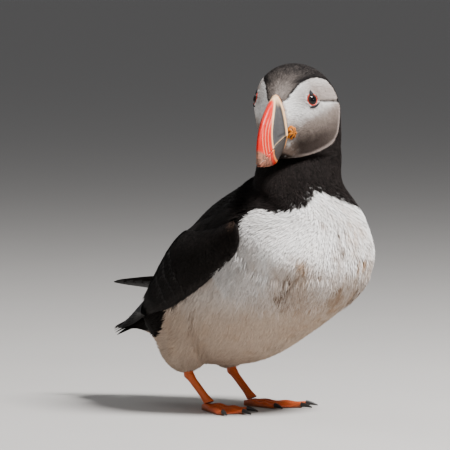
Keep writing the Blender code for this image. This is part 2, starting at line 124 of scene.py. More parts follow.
def noise(points, size, seed):
    """Smooth random value from -1 to 1: random numbers on a cubic lattice of this size, eased between."""
    lattice = np.random.default_rng(seed).uniform(-1, 1, (LATTICE,) * 3)
    p = np.asarray(points, float) / size
    cell = np.floor(p).astype(int)
    f = ease(p - cell, 0, 1)
    total = np.zeros(p.shape[:-1])
    for x in (0, 1):
        for y in (0, 1):
            for z in (0, 1):
                corner = (cell + (x, y, z)) % LATTICE
                share = np.abs(1 - x - f[..., 0]) * np.abs(1 - y - f[..., 1]) * np.abs(1 - z - f[..., 2])
                total += share * lattice[corner[..., 0], corner[..., 1], corner[..., 2]]
    return total


def through(rows, t):
    """Catmull-Rom curve through equally spaced rows, read at parameters t from 0 to len(rows) - 1."""
    t = np.asarray(t, float)
    padded = np.vstack([2 * rows[0] - rows[1], rows, 2 * rows[-1] - rows[-2]])
    i = np.clip(np.floor(t).astype(int), 0, len(rows) - 2)
    f = (t - i)[..., None]
    a, b, c, d = (padded[i + k] for k in range(4))
    square, cube = 2 * a - 5 * b + 4 * c - d, 3 * b - a - 3 * c + d
    return 0.5 * (2 * b + (c - a) * f + square * f ** 2 + cube * f ** 3)


# ---------------------------------------------------------------- frames
def heading_axes(heading):
    """Unit vectors ahead and left, in the body frame, for a heading in degrees."""
    a = math.radians(heading)
    return np.array([math.cos(a), math.sin(a), 0.0]), np.array([-math.sin(a), math.cos(a), 0.0])


def from_head(ahead, left, up):
    """Body-frame points of places in the head frame."""
    fore, side = heading_axes(HEAD_TURN)
    ahead, left, up = (np.asarray(v, float) for v in (ahead, left, up))
    base = np.array(CULMEN_ROOT)
    return base + ahead[..., None] * fore + left[..., None] * side + up[..., None] * UP


def to_head(points):
    """Head-frame (ahead, left, up) of body-frame points."""
    fore, side = heading_axes(HEAD_TURN)
    d = np.asarray(points) - np.array(CULMEN_ROOT)
    return d @ fore, d @ side, d[..., 2]


def world(points):
    """Body-frame millimetres to metres about the floor centre, with forward along -Y and left along +X."""
    points = np.asarray(points, float) - np.array([*FLOOR_CENTRE, 0.0])
    return np.stack([points[..., 1], -points[..., 0], points[..., 2]], axis=-1) * MM


# ---------------------------------------------------------------- the body's surface
def body_sections():
    """All sections in the body frame; the neck's first one is turned little more than half way."""
    rows = [list(row) for row in TRUNK_SECTIONS]
    for ahead, up, pitch, wide, above, below, narrow in HEAD_SECTIONS:
        rows.append([*from_head(ahead, 0.0, up), pitch, HEAD_TURN, wide, above, below, narrow])
    rows[len(TRUNK_SECTIONS)][4] = 0.55 * HEAD_TURN
    return np.array(rows)


SECTIONS = body_sections()
T_END = len(SECTIONS) - 1.0
EYE_AT = (-12.7, 15.6, -3.6)              # ahead, to either side, up, in the head frame
EYE_RADIUS = 4.5
FURROW = (-15.5, -43.0, -3.9)             # the crease behind the eye: from and to ahead, and up
LEG_AT = (-43.3, 20.0, 20.0)              # where each thigh ends over its tarsus
THIGH_FLARE = 0.042                       # how fast the thigh widens above that
RUMP_END = (-101.0, 0.0, 51.3)            # where the rump's sleeve ends round the tail feathers
RUMP_HALF, RUMP_HANG = (9.8, 1.4), 8.0    # its half width and height there, and how far its sides hang


def body_point(t, phi):
    """Section t is an oval, phi degrees round it from the back (0) towards the bird's left (90)."""
    t, phi = np.broadcast_arrays(np.asarray(t, float), np.radians(phi))
    row = through(SECTIONS, t)
    pitch, turn = np.radians(row[..., 3]), np.radians(row[..., 4])
    side = np.stack([-np.sin(turn), np.cos(turn), 0 * turn], axis=-1)
    rise = np.stack([-np.sin(pitch) * np.cos(turn), -np.sin(pitch) * np.sin(turn), np.cos(pitch)], axis=-1)
    depth = np.where(np.cos(phi) > 0, row[..., 6], row[..., 7])
    across = row[..., 5] * np.sin(phi) * (1 - row[..., 8] * np.cos(phi))
    return row[..., :3] + side * across[..., None] + rise * (depth * np.cos(phi))[..., None]


def body_axis(t):
    """Unit direction of the spine at section t, from tail to bill."""
    row = through(SECTIONS, t)
    pitch, turn = np.radians(row[..., 3]), np.radians(row[..., 4])
    return np.stack([np.cos(pitch) * np.cos(turn), np.cos(pitch) * np.sin(turn), np.sin(pitch)], axis=-1)


def eye_distance(ahead, left, up):
    """Distance from the middle of the nearer eye's opening, in the plane of the opening."""
    return np.hypot((ahead - EYE_AT[0] - 1.7) / 0.84, up - EYE_AT[2] - 0.5) + 100 * (np.abs(left) < 9)


FACE_CENTRE = (-17.0, -14.0)              # ahead and up of the pale patch's middle, and its radii by heading
FACE_RADII = ((0, 38.0), (12, 27.0), (26, 19.4), (42, 19.5), (56, 20.5), (69, 21.9), (84, 23.3), (99, 23.9),
              (113, 24.9), (141, 25.4), (155, 23.6), (173, 22.6), (189, 20.9), (206, 20.0), (222, 20.1),
              (243, 19.5), (263, 20.3), (274, 21.8), (282, 24.4), (296, 25.8), (310, 27.0), (330, 29.0))


def face_edge(ahead, up):
    """Millimetres by which a place is inside the pale patch on the side of the head; negative outside.

    The patch is a rounded disc about one centre.  Its radius runs straight between the headings given, and
    is smoothed by the mean of three readings.
    """
    across, rise = ahead - FACE_CENTRE[0], up - FACE_CENTRE[1]
    turn = np.degrees(np.arctan2(rise, across)) % 360
    headings, radii = np.array(FACE_RADII).T
    around = np.concatenate([headings - 360, headings, headings + 360])
    reach = np.interp(turn, around, np.tile(radii, 3))
    for shift in (-8, 8):
        reach = reach + np.interp(turn + shift, around, np.tile(radii, 3))
    return reach / 3 - np.hypot(across, rise)


def head_relief(points, t):
    """How far the head's feathers stand out or in: a furrow and lids, both bells in section, and an eased
    step for the cheek's raised rim."""
    ahead, left, up = to_head(points)
    on_head = ease(t, 8.6, 9.4)
    sideways = ease(np.abs(left), 7, 12)
    start, end, level = FURROW
    along = ease(ahead, start, start - 3) * ease(ahead, end - 2, end + 4)
    furrow = -1.1 * hill(up, level + 0.03 * (ahead - start), 0.9) + 0.45 * hill(up, level - 4, 3.0)
    inside = face_edge(ahead, up)
    low = ease(up - 0.6 * ahead, 6, -4)
    rim = 1.1 * ease(inside, -0.6, 1.0) * ease(inside, 9, 2) * low
    from_eye = eye_distance(ahead, left, up)
    lids = 0.75 * hill(from_eye, 4.3, 1.3) - 1.0 * hill(from_eye, 0, 2.6)
    return on_head * (sideways * (furrow * along + lids) + rim * ease(t, 12.6, 11.6))


def outline(t, phi):
    """Outer surface of the plumage: the body with its relief, and a bowl of thigh round the top of each leg.

    The thigh's underside is a paraboloid over the leg; where it is lower than the belly, the belly sinks to
    it.  Past the bill's end the surface closes, within half a section, as a quarter ellipse.  Past the tail's
    end it runs out as a sleeve to a flat arched ring round the tail feathers.
    """
    asked = np.broadcast_to(np.asarray(t, float), np.broadcast(t, phi).shape)
    t = np.clip(asked, 0, T_END)
    p = body_point(t, phi)
    centre = through(SECTIONS, t)[..., :3]
    if t.max() > 8.5:
        p = p + unit(p - centre) * np.where(t > 8.5, head_relief(p, t), 0)[..., None]
    if t.min() < 5:
        under = ease(-np.cos(np.radians(phi)), 0.0, 0.35) * ease(t, 6.0, 5.2)
        for side, _ in SIDES:
            far = (p[..., 0] - LEG_AT[0]) ** 2 + ((p[..., 1] - side * LEG_AT[1]) / 0.92) ** 2
            drop = np.clip(p[..., 2] - LEG_AT[2] - THIGH_FLARE * far, 0, None)
            p[..., 2] -= under * drop * drop / (drop + 1.2)
    closing = 0.5 * np.pi * np.clip(2 * (asked - T_END), 0, 1)
    p = centre + (p - centre) * np.cos(closing)[..., None] + body_axis(t) * (1.5 * np.sin(closing))[..., None]
    behind = np.clip(-2 * asked, 0, 1)[..., None]
    angle = np.radians(np.broadcast_to(phi, asked.shape))
    rump = np.stack([RUMP_END[0] + 0 * angle, RUMP_HALF[0] * np.sin(angle),
                     RUMP_END[2] + RUMP_HALF[1] * np.cos(angle) - RUMP_HANG * np.sin(angle) ** 2], axis=-1)
    return p + (rump - p) * behind


def coat_depth(t, phi):
    """How thick the plumage is over the skin: straight between depths along the body, less on the back."""
    stops = np.array([(0, 0.6), (1, 1.6), (2, 3.0), (5.5, 3.0), (6.5, 2.1), (7.5, 1.6), (9, 1.3), (10, 0.9),
                      (12, 0.8), (12.7, 0.4), (13, 0.3)])
    depth = np.interp(t, *stops.T)
    back = ease(np.cos(np.radians(phi)), 0.1, 0.6) * ease(t, 6.5, 5.0)
    return depth * (1 - 0.5 * back)


# ---------------------------------------------------------------- markings, linear colours
WHITE = (0.86, 0.835, 0.81)
SHADED = (0.56, 0.535, 0.515)             # the sides of the breast
STAIN_OCHRE_AND_SHADE = (0.42, 0.24, 0.115)             # ochre stain on the breast; in the broad washes also painted warm shade
SOIL_AND_SHADE = (0.13, 0.088, 0.060)               # dark soil on the breast; low on it also painted shade
# the belly low down and under the breast's fold: dirt, and painted warm shade
BELLY_SHADE_AND_DIRT = (0.47, 0.33, 0.225)
DUST_AND_WARM_SHADE = (0.42, 0.28, 0.185)               # the front of the lower breast: dust, and painted warm shade
BLACK = (0.0052, 0.0038, 0.0031)
SOOT = tuple(1.1 * c for c in BLACK)
SHOULDER_SHEEN, WING_SHEEN = (0.030, 0.024, 0.022), (0.034, 0.028, 0.026)
# the first is a painted highlight on the wrist's upper edge; tips and covert edges are the feathers' own
WRIST_HIGHLIGHT, TIP_BROWN, COVERT_EDGE = (0.15, 0.095, 0.070), (0.020, 0.016, 0.014), (0.010, 0.0075, 0.006)
COLLAR = (0.0105, 0.0076, 0.0068)
CROWN = (0.0075, 0.0060, 0.0058)
FROST = (0.20, 0.168, 0.150)
CHEEK = (0.82, 0.80, 0.78)
# the lower cheek's own grey, deepened as painted shade; also painted as shade in the furrow
CHEEK_GREY_AND_SHADE = (0.026, 0.017, 0.0135)
CHEEK_BEIGE = (0.24, 0.185, 0.155)
# paler rim low on the cheek: its own colour, and painted light on the raised edge
CHEEK_RIM = (0.36, 0.29, 0.26)
# the chin's own grey, deepened as painted shade under the bill
CHIN = (0.26, 0.19, 0.155)
# Stains of the breast; the broad, soft ones also paint warm shade on the lower breast. Each is: section,
# angle, reach in sections, reach in degrees, and strength of soil and ochre
STAINS_AND_WARM_SHADE = (
    (6.12, -172, 0.16, 4, 0.8, 0.3), (5.96, -166, 0.20, 4, 0.9, 0.35), (5.74, -168, 0.16, 4, 0.8, 0.3),
    (6.14, -153, 0.12, 5, 0.25, 0.3), (5.46, 170, 0.24, 9, 0.15, 0.8), (5.38, 179, 0.22, 8, 0.15, 0.7),
    (5.22, -132, 0.14, 7, 0.3, 0.75), (5.14, -138, 0.12, 6, 0.3, 0.6), (4.94, -132, 0.12, 5, 0.85, 0.2),
    (4.78, -134, 0.15, 6, 0.6, 0.3), (5.05, -168, 0.22, 8, 0.5, 0.6), (5.17, -177, 0.20, 9, 0.45, 0.55),
    (4.81, -168, 0.22, 9, 0.4, 0.6), (5.44, -158, 0.2, 8, 0.25, 0.4), (5.3, 150, 0.3, 12, 0.3, 0.4),
    (4.6, 140, 0.4, 14, 0.2, 0.4), (5.3, -165, 0.5, 24, 0.0, 0.30), (4.9, -148, 0.4, 20, 0.05, 0.45),
    (5.5, 168, 0.5, 24, 0.0, 0.35), (4.75, -125, 0.35, 24, 0.1, 0.35), (4.8, 178, 0.4, 30, 0.1, 0.5),
    (5.95, 172, 0.6, 24, 0.0, 0.42), (4.95, -146, 0.26, 13, 0.35, 0.55), (4.85, -170, 0.28, 16, 0.3, 0.6),
)


def black_edge(t, phi, points):
    """How far inside the black of collar, back and flank a place is, in degrees round the body, roughly.

    Its edges run straight between places round the collar, along the flank and over the vent, and noise
    frays them.
    """
    away = np.abs((np.asarray(phi) + 180) % 360 - 180)
    collar = np.interp(away, (0, 76, 79, 82, 87, 98, 112, 129, 147, 162, 172, 180),
                       (5.0, 5.25, 5.55, 5.72, 5.82, 5.94, 6.15, 6.36, 6.55, 6.71, 6.88, 6.88))
    flank = np.interp(t, (2.4, 2.66, 2.96, 3.3, 4.3, 4.64, 4.8, 5.0, 5.35),
                      (92, 93, 93, 91, 90, 88, 86, 83, 79.5)) - away
    vent = np.interp(points[..., 0], (-86, -72, -60, -53, -47.7, -44, -36), (43, 41, 42, 47, 54, 63, 66))
    flank = mix(2.2 * (points[..., 2] - vent)[..., None], flank[..., None], ease(t, 2.3, 2.7))[..., 0]
    ragged = 2.4 * noise(points, 3.0, 11) + 2.2 * noise(points, 1.1, 12)
    return np.maximum((t - collar) * 42, flank) + ragged


def fold_line(phi):
    """The section where the breast's plumage ends in a fold over the belly."""
    away = np.abs((np.asarray(phi) + 180) % 360 - 180)
    return np.interp(away, (90, 106, 114, 126, 136, 144, 152, 170),
                     (4.26, 4.28, 4.32, 4.44, 4.54, 4.68, 4.78, 4.82))


def white_plumage(t, phi, points, fine, coarse):
    """Breast and belly: painted shade at the sides, darker and warmer low down and under the fold as dirt and
    painted warm shade, with patchy stains, yellow-brown and earth-dark, whose broad washes also paint shade.
    """
    white = mix(WHITE, SHADED, 0.8 * ease(np.abs(phi), 118, 90) * ease(t, 6.1, 5.5))
    # darker and warmer towards the bottom and just under the breast's fold: dirt, and painted warm shade
    below = np.maximum(ease(points[..., 2], 96, 50), 0.5 * ease(t - fold_line(phi), 0.02, -0.16))
    white = mix(white, BELLY_SHADE_AND_DIRT, 0.84 * below + 0.08 * np.clip(coarse, 0, 1))
    # the front of the lower breast, above the belly: dust, and painted warm shade
    white = mix(white, DUST_AND_WARM_SHADE, 0.8 * ease(t, 5.5, 4.85) * ease(np.abs(phi), 112, 140) * (1 - below))
    patchy = np.clip(0.55 + 1.1 * noise(points * (1, 1, 0.45), 2.6, 3) + 0.5 * fine, 0, 1.3)
    dark_stain_and_shade, warm_stain_and_shade = np.zeros(t.shape), np.zeros(t.shape)
    for at, angle, reach, spread, dark, warm in STAINS_AND_WARM_SHADE:
        near = np.exp(-((t - at) / reach) ** 2 - (((phi - angle + 180) % 360 - 180) / spread) ** 2)
        dark_stain_and_shade = np.maximum(dark_stain_and_shade, near * dark * patchy ** 1.6)
        warm_stain_and_shade = np.maximum(warm_stain_and_shade, near * warm * patchy)
    # ochre and soil: stains, and in the broad washes painted warm shade
    white = mix(white, STAIN_OCHRE_AND_SHADE, np.clip(warm_stain_and_shade, 0, 0.85))
    return mix(white, SOIL_AND_SHADE, np.clip(dark_stain_and_shade, 0, 0.85))


def dark_plumage(t, phi, points, place, fine, edge, inside):
    """Back, collar and crown: black, browner on the collar and frosted with grey over the bill's root."""
    ahead, left, up = place
    grain = np.clip(0.8 + 0.8 * fine + 0.5 * noise(points, 0.9, 8), 0, 1.6)
    dark = mix(BLACK, COLLAR, ease(t, 4.6, 6.2) * grain)
    fleck = ease(noise(points, 1.0, 7), 0.35, 0.6) * ease(edge, 12, 1)
    dark = mix(dark, WHITE, 0.2 * (fleck * ease(np.abs(phi), 120, 140) * ease(t, 8, 7)))
    near_bill = np.exp(-(ahead ** 2 + (left / 1.6) ** 2 + (up - 2) ** 2) / 150.0)
    frost = 0.02 + 0.06 * fine + 0.10 * noise(points, 0.7, 6) + 0.85 * near_bill
    clear = np.maximum(ease(inside, -0.8, -3.0), ease(near_bill, 0.25, 0.7) * ease(inside, -0.1, -0.9))
    crown = mix(CROWN, FROST, np.clip(frost, 0, 1) * ease(t, 9.6, 10.8) * clear)
    return mix(dark, crown, ease(t, 9.2, 10.2) * ease(up, -16, 2))


def face_plumage(points, place, fine, coarse, inside):
    """The pale patch: beige above the furrow and round the eye, grey low on the cheek, deepened by painted
    shade, inside a paler rim partly painted as light on its raised edge, with a chin greyed partly by painted
    shade under the bill, a few white feathers at the gape and the furrow itself as a dark line of painted
    shade."""
    ahead, left, up = place
    low = -up - 0.4 * (ahead + 10) + 0.7 * coarse + 1.3 * fine
    furrow = FURROW[2] + 0.03 * (ahead - FURROW[0])
    over = ease(up - furrow, -0.6, 0.8) * ease(ahead, -7, -15)
    face = mix(CHEEK, CHEEK_BEIGE, over * (0.85 - 0.25 * ease(up, 3, 9)))
    face = mix(face, CHEEK_BEIGE, 0.45 * hill(eye_distance(ahead, left, up), 5.5, 3.0) * ease(up, -11, -4))
    face = mix(face, CHEEK_BEIGE, 0.95 * ease(low, 6, 18) * ease(up - furrow, 0.5, -1.5))
    # painted shade deepens the cheek's own grey towards the bottom
    face = mix(face, CHEEK_GREY_AND_SHADE, ease(low, 14.5, 31) * (0.95 - 0.18 * ease(ahead, -18, -32)))
    # the paler rim is partly painted light where the edge is raised
    face = mix(face, CHEEK_RIM, ease(inside, 3.4, 1.2) * ease(low, 14, 20) * ease(ahead, -6, -14))
    # the chin greyed under the bill, partly as painted shade
    chin = ease(np.abs(left), 12, 6) * ease(up, -24, -29)
    face = mix(face, CHIN, chin * 0.9 * ease(inside, 0.6, 2.0))
    streak = np.clip(noise(points * (1, 1, 0.5), 1.0, 5) * 1.6 - 0.5, 0, 1)
    gape = hill(ahead, 0, 3.0) * hill(up, -28, 2.4)
    face = mix(face, CHEEK, np.clip(0.2 * streak * chin + gape * (0.4 + fine), 0, 0.9))
    # painted shade: a dark line along the furrow's crease
    crease = hill(up, furrow, 0.75) * ease(ahead, FURROW[0], FURROW[0] - 1.5)
    return mix(face, CHEEK_GREY_AND_SHADE, np.clip(crease * (0.75 + 0.4 * fine), 0, 1) * ease(ahead, -42, -38))


def markings(t, phi):
    """Plumage colour at a place on the body."""
    t, phi = np.broadcast_arrays(np.asarray(t, float), np.asarray(phi, float))
    points = outline(t, phi)
    t = np.clip(t, 0, T_END)
    place = to_head(points)
    fine, coarse = noise(points, 1.6, 1), noise(points, 6.0, 2)
    edge = black_edge(t, phi, points)
    inside = face_edge(*place[::2]) * ease(t, 8.9, 9.1) - 8 * ease(t, 9.05, 8.85)
    dark = dark_plumage(t, phi, points, place, fine, edge, inside)
    face = face_plumage(points, place, fine, coarse, inside)
    dark = mix(dark, face, ease(inside + 0.35 * fine, -0.25, 0.35))
    return mix(white_plumage(t, phi, points, fine, coarse), dark, ease(edge, -1.2, 1.2))


# ---------------------------------------------------------------- shader maths
class Value:
    """A shader socket on which sums are written as Python; each one adds a Math node."""

    def __init__(self, finish, socket):
        self.finish, self.socket = finish, socket

    def maths(self, operation, *values):
        return self.finish.node("ShaderNodeMath", {"operation": operation}, dict(enumerate(values)))

    def __add__(self, other):
        return self.maths("ADD", self, other)

    def __sub__(self, other):
        return self.maths("SUBTRACT", self, other)

    def __rsub__(self, other):
        return self.maths("SUBTRACT", other, self)

    def __mul__(self, other):
        return self.maths("MULTIPLY", self, other)

    def __abs__(self):
        return self.maths("ABSOLUTE", self)

    def sine(self):
        return self.maths("SINE", self)

    __radd__ = __add__
    __rmul__ = __mul__


class Finish:
    """A material: plain values go on its shader's own sockets, and feed() links what varies over a piece."""

    def __init__(self, name, **plain):
        self.material = bpy.data.materials.new(name)
        self.material.use_nodes = True
        self.tree = self.material.node_tree
        self.shader = self.tree.nodes["Principled BSDF"]
        for socket, value in plain.items():
            self.shader.inputs[socket.replace("_", " ")].default_value = value

    def node(self, kind, settings=None, values=None, output=0):
        """A node of a type, with its settings, then the numbers or links of its sockets."""
        made = self.tree.nodes.new(kind)
        for key, setting in (settings or {}).items():
            if key == "stops":
                for element, (place, colour) in zip(made.color_ramp.elements, setting):
                    element.position = place
                    element.color = (*colour, 1.0)
            else:
                setattr(made, key, setting)
        for socket, value in (values or {}).items():
            if isinstance(value, Value):
                self.tree.links.new(value.socket, made.inputs[socket])
            else:
                made.inputs[socket].default_value = value
        return Value(self, made.outputs[output])

    def feed(self, socket, value):
        """Link a value to one of the shader's sockets."""
        self.tree.links.new(value.socket, self.shader.inputs[socket])

    def objects(self):
        """Object coordinates, in metres."""
        return self.node("ShaderNodeTexCoord", output="Object")

    def tint(self):
        """The piece's own colours."""
        return self.node("ShaderNodeAttribute", {"attribute_name": "tint"}, output="Color")

    def ramp(self, factor, *stops):
        """A colour ramp between two stops, each a place and a colour."""
        return self.node("ShaderNodeValToRGB", {"stops": stops}, {0: factor})

    def noise(self, scale, detail=3.0, stretch=None):
        """Fractal noise from 0 to 1 on object coordinates."""
        at = self.objects()
        if stretch:
            at = self.node("ShaderNodeMapping", None, {"Vector": at, "Scale": stretch})
        return self.node("ShaderNodeTexNoise", None, {"Vector": at, "Scale": scale, "Detail": detail}, "Fac")

    def blend(self, factor, a, b, how="MIX"):
        """Mix colours a and b."""
        a, b = ((*v, 1.0) if isinstance(v, tuple) else v for v in (a, b))
        settings = {"data_type": "RGBA", "blend_type": how}
        return self.node("ShaderNodeMix", settings, {0: factor, 6: a, 7: b}, 2)

    def bump(self, height, strength, distance):
        """Relief of the surface, in metres."""
        self.feed("Normal", self.node("ShaderNodeBump", None,
                                      {"Strength": strength, "Distance": distance, "Height": height}))


def painted(name, roughness, gloss, scale, detail=4.0, dark=0.85, stops=(0.3, 0.7), relief=(0.3, 0.0002),
            stretch=None, **plain):
    """The piece's own colours, darkened by a fine grain that also breaks up the gloss and gives a bump."""
    finish = Finish(name, **plain)
    grain = finish.noise(scale, detail, stretch)
    speckle = finish.ramp(grain, (stops[0], (dark,) * 3), (stops[1], (1.0,) * 3))
    finish.feed("Base Color", finish.blend(1.0, finish.tint(), speckle, "MULTIPLY"))
    finish.feed("Roughness", roughness + gloss * grain)
    if relief:
        finish.bump(grain, *relief)
    return finish


def soft_finish(name, roughness, shine):
    """Down and contour feathers: faintly streaked barbs with little shine."""
    return painted(name, roughness, 0.18, 900.0, 2.0, 0.86, (0.25, 0.75), (0.35, 0.0003),
                   Specular_IOR_Level=shine)


def vane_finish(name, roughness):
    """Flight feather or covert: fine slanting barbs on both sides of the shaft, which give a silky sheen."""
    finish = Finish(name, Specular_IOR_Level=0.08)
    place = finish.node("ShaderNodeUVMap", {"uv_map": "vane"})
    across, along = (finish.node("ShaderNodeSeparateXYZ", None, {0: place}, axis) for axis in "XY")
    barbs = ((along - abs(across - 0.5) * 0.9) * 150.0).sine()
    slow = finish.noise(260.0)
    sheen = finish.ramp(slow, (0.35, (0.75, 0.75, 0.75)), (0.75, (1.5, 1.46, 1.4)))
    finish.feed("Base Color", finish.blend(1.0, finish.tint(), sheen, "MULTIPLY"))
    finish.feed("Roughness", roughness + 0.10 * barbs - 0.12 * slow)
    finish.bump(barbs + slow * 1.5, 0.25, 0.0002)
    return finish


def leg_finish():
    """Skin of the legs and webs: the tint, with painted shade in the creases between small cells, which are
    raised.
    """
    finish = Finish("leg_skin")
    cells = finish.node("ShaderNodeTexVoronoi", {"feature": "DISTANCE_TO_EDGE"},
                        {"Vector": finish.objects(), "Scale": 1100.0})
    # painted shade in the creases between the cells
    mask = finish.ramp(cells, (0.0, (0.72, 0.62, 0.60)), (0.12, (1.0, 1.0, 1.0)))
    finish.feed("Base Color", finish.blend(1.0, finish.tint(), mask, "MULTIPLY"))
    finish.feed("Roughness", 0.55 - 0.2 * finish.noise(400.0))
    finish.bump(cells, 0.4, 0.0003)
    return finish


def plain_finish(name, colour, roughness, wobble, scale, **plain):
    """One colour, mottled, with its gloss broken up."""
    finish = Finish(name, **plain)
    grain = finish.noise(scale, 4.0)
    dark = tuple(c * (1 - wobble) for c in colour)
    finish.feed("Base Color", finish.blend(grain, dark, colour))
    finish.feed("Roughness", roughness + 0.15 * grain)
    finish.bump(grain, 0.25, 0.0002)
    return finish


# ---------------------------------------------------------------- meshes
def grid_faces(rows, cols, joined=False, looped=False):
    """Quads over a grid of points; joined closes its columns into rings, looped its rows into a loop."""
    at = np.arange(rows * cols).reshape(rows, cols)
    if looped:
        at = np.concatenate([at, at[:1]])
    if joined:
        at = np.concatenate([at, at[:, :1]], axis=1)
    return np.stack([at[:-1, :-1], at[1:, :-1], at[1:, 1:], at[:-1, 1:]], axis=-1).reshape(-1, 4)


def put(name, data):
    """A new object in the scene."""
    obj = bpy.data.objects.new(name, data)
    bpy.context.scene.collection.objects.link(obj)
    return obj


def piece(name, points, faces, finish, slot, replaces=(), caps=(), tint=None, maps=None):
    """A mesh piece from body-frame points and quads.  caps are extra faces; maps are UV layers by name."""
    points = world(np.reshape(points, (-1, 3)))
    loops = np.concatenate([faces.ravel(), *caps])
    sizes = np.concatenate([np.full(len(faces), faces.shape[1]), [len(cap) for cap in caps]]).astype(int)
    mesh = bpy.data.meshes.new(name)
    mesh.vertices.add(len(points))
    mesh.vertices.foreach_set("co", points.ravel())
    mesh.loops.add(len(loops))
    mesh.loops.foreach_set("vertex_index", loops)
    mesh.polygons.add(len(sizes))
    mesh.polygons.foreach_set("loop_start", np.cumsum(sizes) - sizes)
    mesh.update(calc_edges=True)
    if tint is not None:
        colours = np.ones((len(points), 4))
        colours[:, :3] = np.reshape(tint, (-1, 3))
        mesh.color_attributes.new("tint", "FLOAT_COLOR", "POINT").data.foreach_set("color", colours.ravel())
    for layer, places in (maps or {}).items():
        mesh.uv_layers.new(name=layer).data.foreach_set("uv", np.reshape(places, (-1, 2))[loops].ravel())
    mesh.materials.append(finish.material)
    mesh.shade_smooth()
    obj = put(name, mesh)
    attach(obj, "root")
    if replaces:
        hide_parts(*replaces)
    return obj


def wound_outward(points, faces, centres):
    """True when the faces, on the whole, look away from the centres given for each."""
    a, b, c = (points[faces[:, k]] for k in range(3))
    return dot(np.cross(b - a, c - a), a - centres).sum() > 0


def join_rings(parts):
    """Points, faces and caps of one or more closed tubes, each (rings, sides, 3), joined into one mesh."""
    points, faces, caps, start = [], [], [], 0
    for rings in parts:
        count, sides = rings.shape[:2]
        quads = grid_faces(count, sides, joined=True)
        flat = rings.reshape(-1, 3)
        first, last = np.arange(sides)[::-1], np.arange(sides) + (count - 1) * sides
        if not wound_outward(flat, quads, rings.mean(axis=1)[quads[:, 0] // sides]):
            quads, first, last = quads[:, ::-1], first[::-1], last[::-1]
        points.append(flat)
        faces.append(quads + start)
        caps += [first + start, last + start]
        start += len(flat)
    return np.concatenate(points), np.concatenate(faces), caps


def rings_piece(name, rings, finish, slot, replaces=(), **more):
    """A closed tube through rings of points, its ends capped."""
    points, faces, caps = join_rings([rings])
    return piece(name, points, faces, finish, slot, replaces, caps=caps, **more)


# ---------------------------------------------------------------- feathers
def feather_frame(at, u, v, steps, lie, swirl=0.0):
    """On a surface at(u, v): its outward normal, the feather's direction and its side, and the changes of u
    and v that move a millimetre along each.  The lie is made tangent to the surface, then swung by swirl."""
    du, dv = steps
    slope_u = (at(u + du, v) - at(u - du, v)) / (2 * du)
    slope_v = (at(u, v + dv) - at(u, v - dv)) / (2 * dv)
    normal = unit(np.cross(slope_u, slope_v))
    ahead = unit(lie - normal * dot(lie, normal)[..., None])
    swirl = np.asarray(swirl)[..., None]
    ahead = ahead * np.cos(swirl) + np.cross(normal, ahead) * np.sin(swirl)
    side = np.cross(normal, ahead)
    uu, uv, vv = dot(slope_u, slope_u), dot(slope_u, slope_v), dot(slope_v, slope_v)
    spare = np.maximum(uu * vv - uv * uv, 0.02 * uu * vv)
    moves = []
    for way in (ahead, side):
        wu, wv = dot(way, slope_u), dot(way, slope_v)
        moves.append(((vv * wu - uv * wv) / spare, (uu * wv - uv * wu) / spare))
    return normal, ahead, side, moves


GOLDEN_SHARE, GOLDEN_TURN = 0.61803, 137.50776    # golden-section steps, of 1 and of 360 degrees
PATCH_HALF = 0.0014                       # half of a tuft's patch on the bake map


def scattered(count):
    """Evenly scattered shares from 0 to 1."""
    return (np.arange(count) * GOLDEN_SHARE) % 1.0


def on_map(across, up):
    """A place on a bake map, held off its borders, from shares of its width and height."""
    return np.stack([0.01 + 0.98 * across, 0.01 + 0.98 * up], -1)


def patch(across, along):
    """Offsets within one tuft's patch of the bake map, for places from -1 to 1 across and along the tuft."""
    return np.stack(np.broadcast_arrays(PATCH_HALF * across, PATCH_HALF * along), -1)


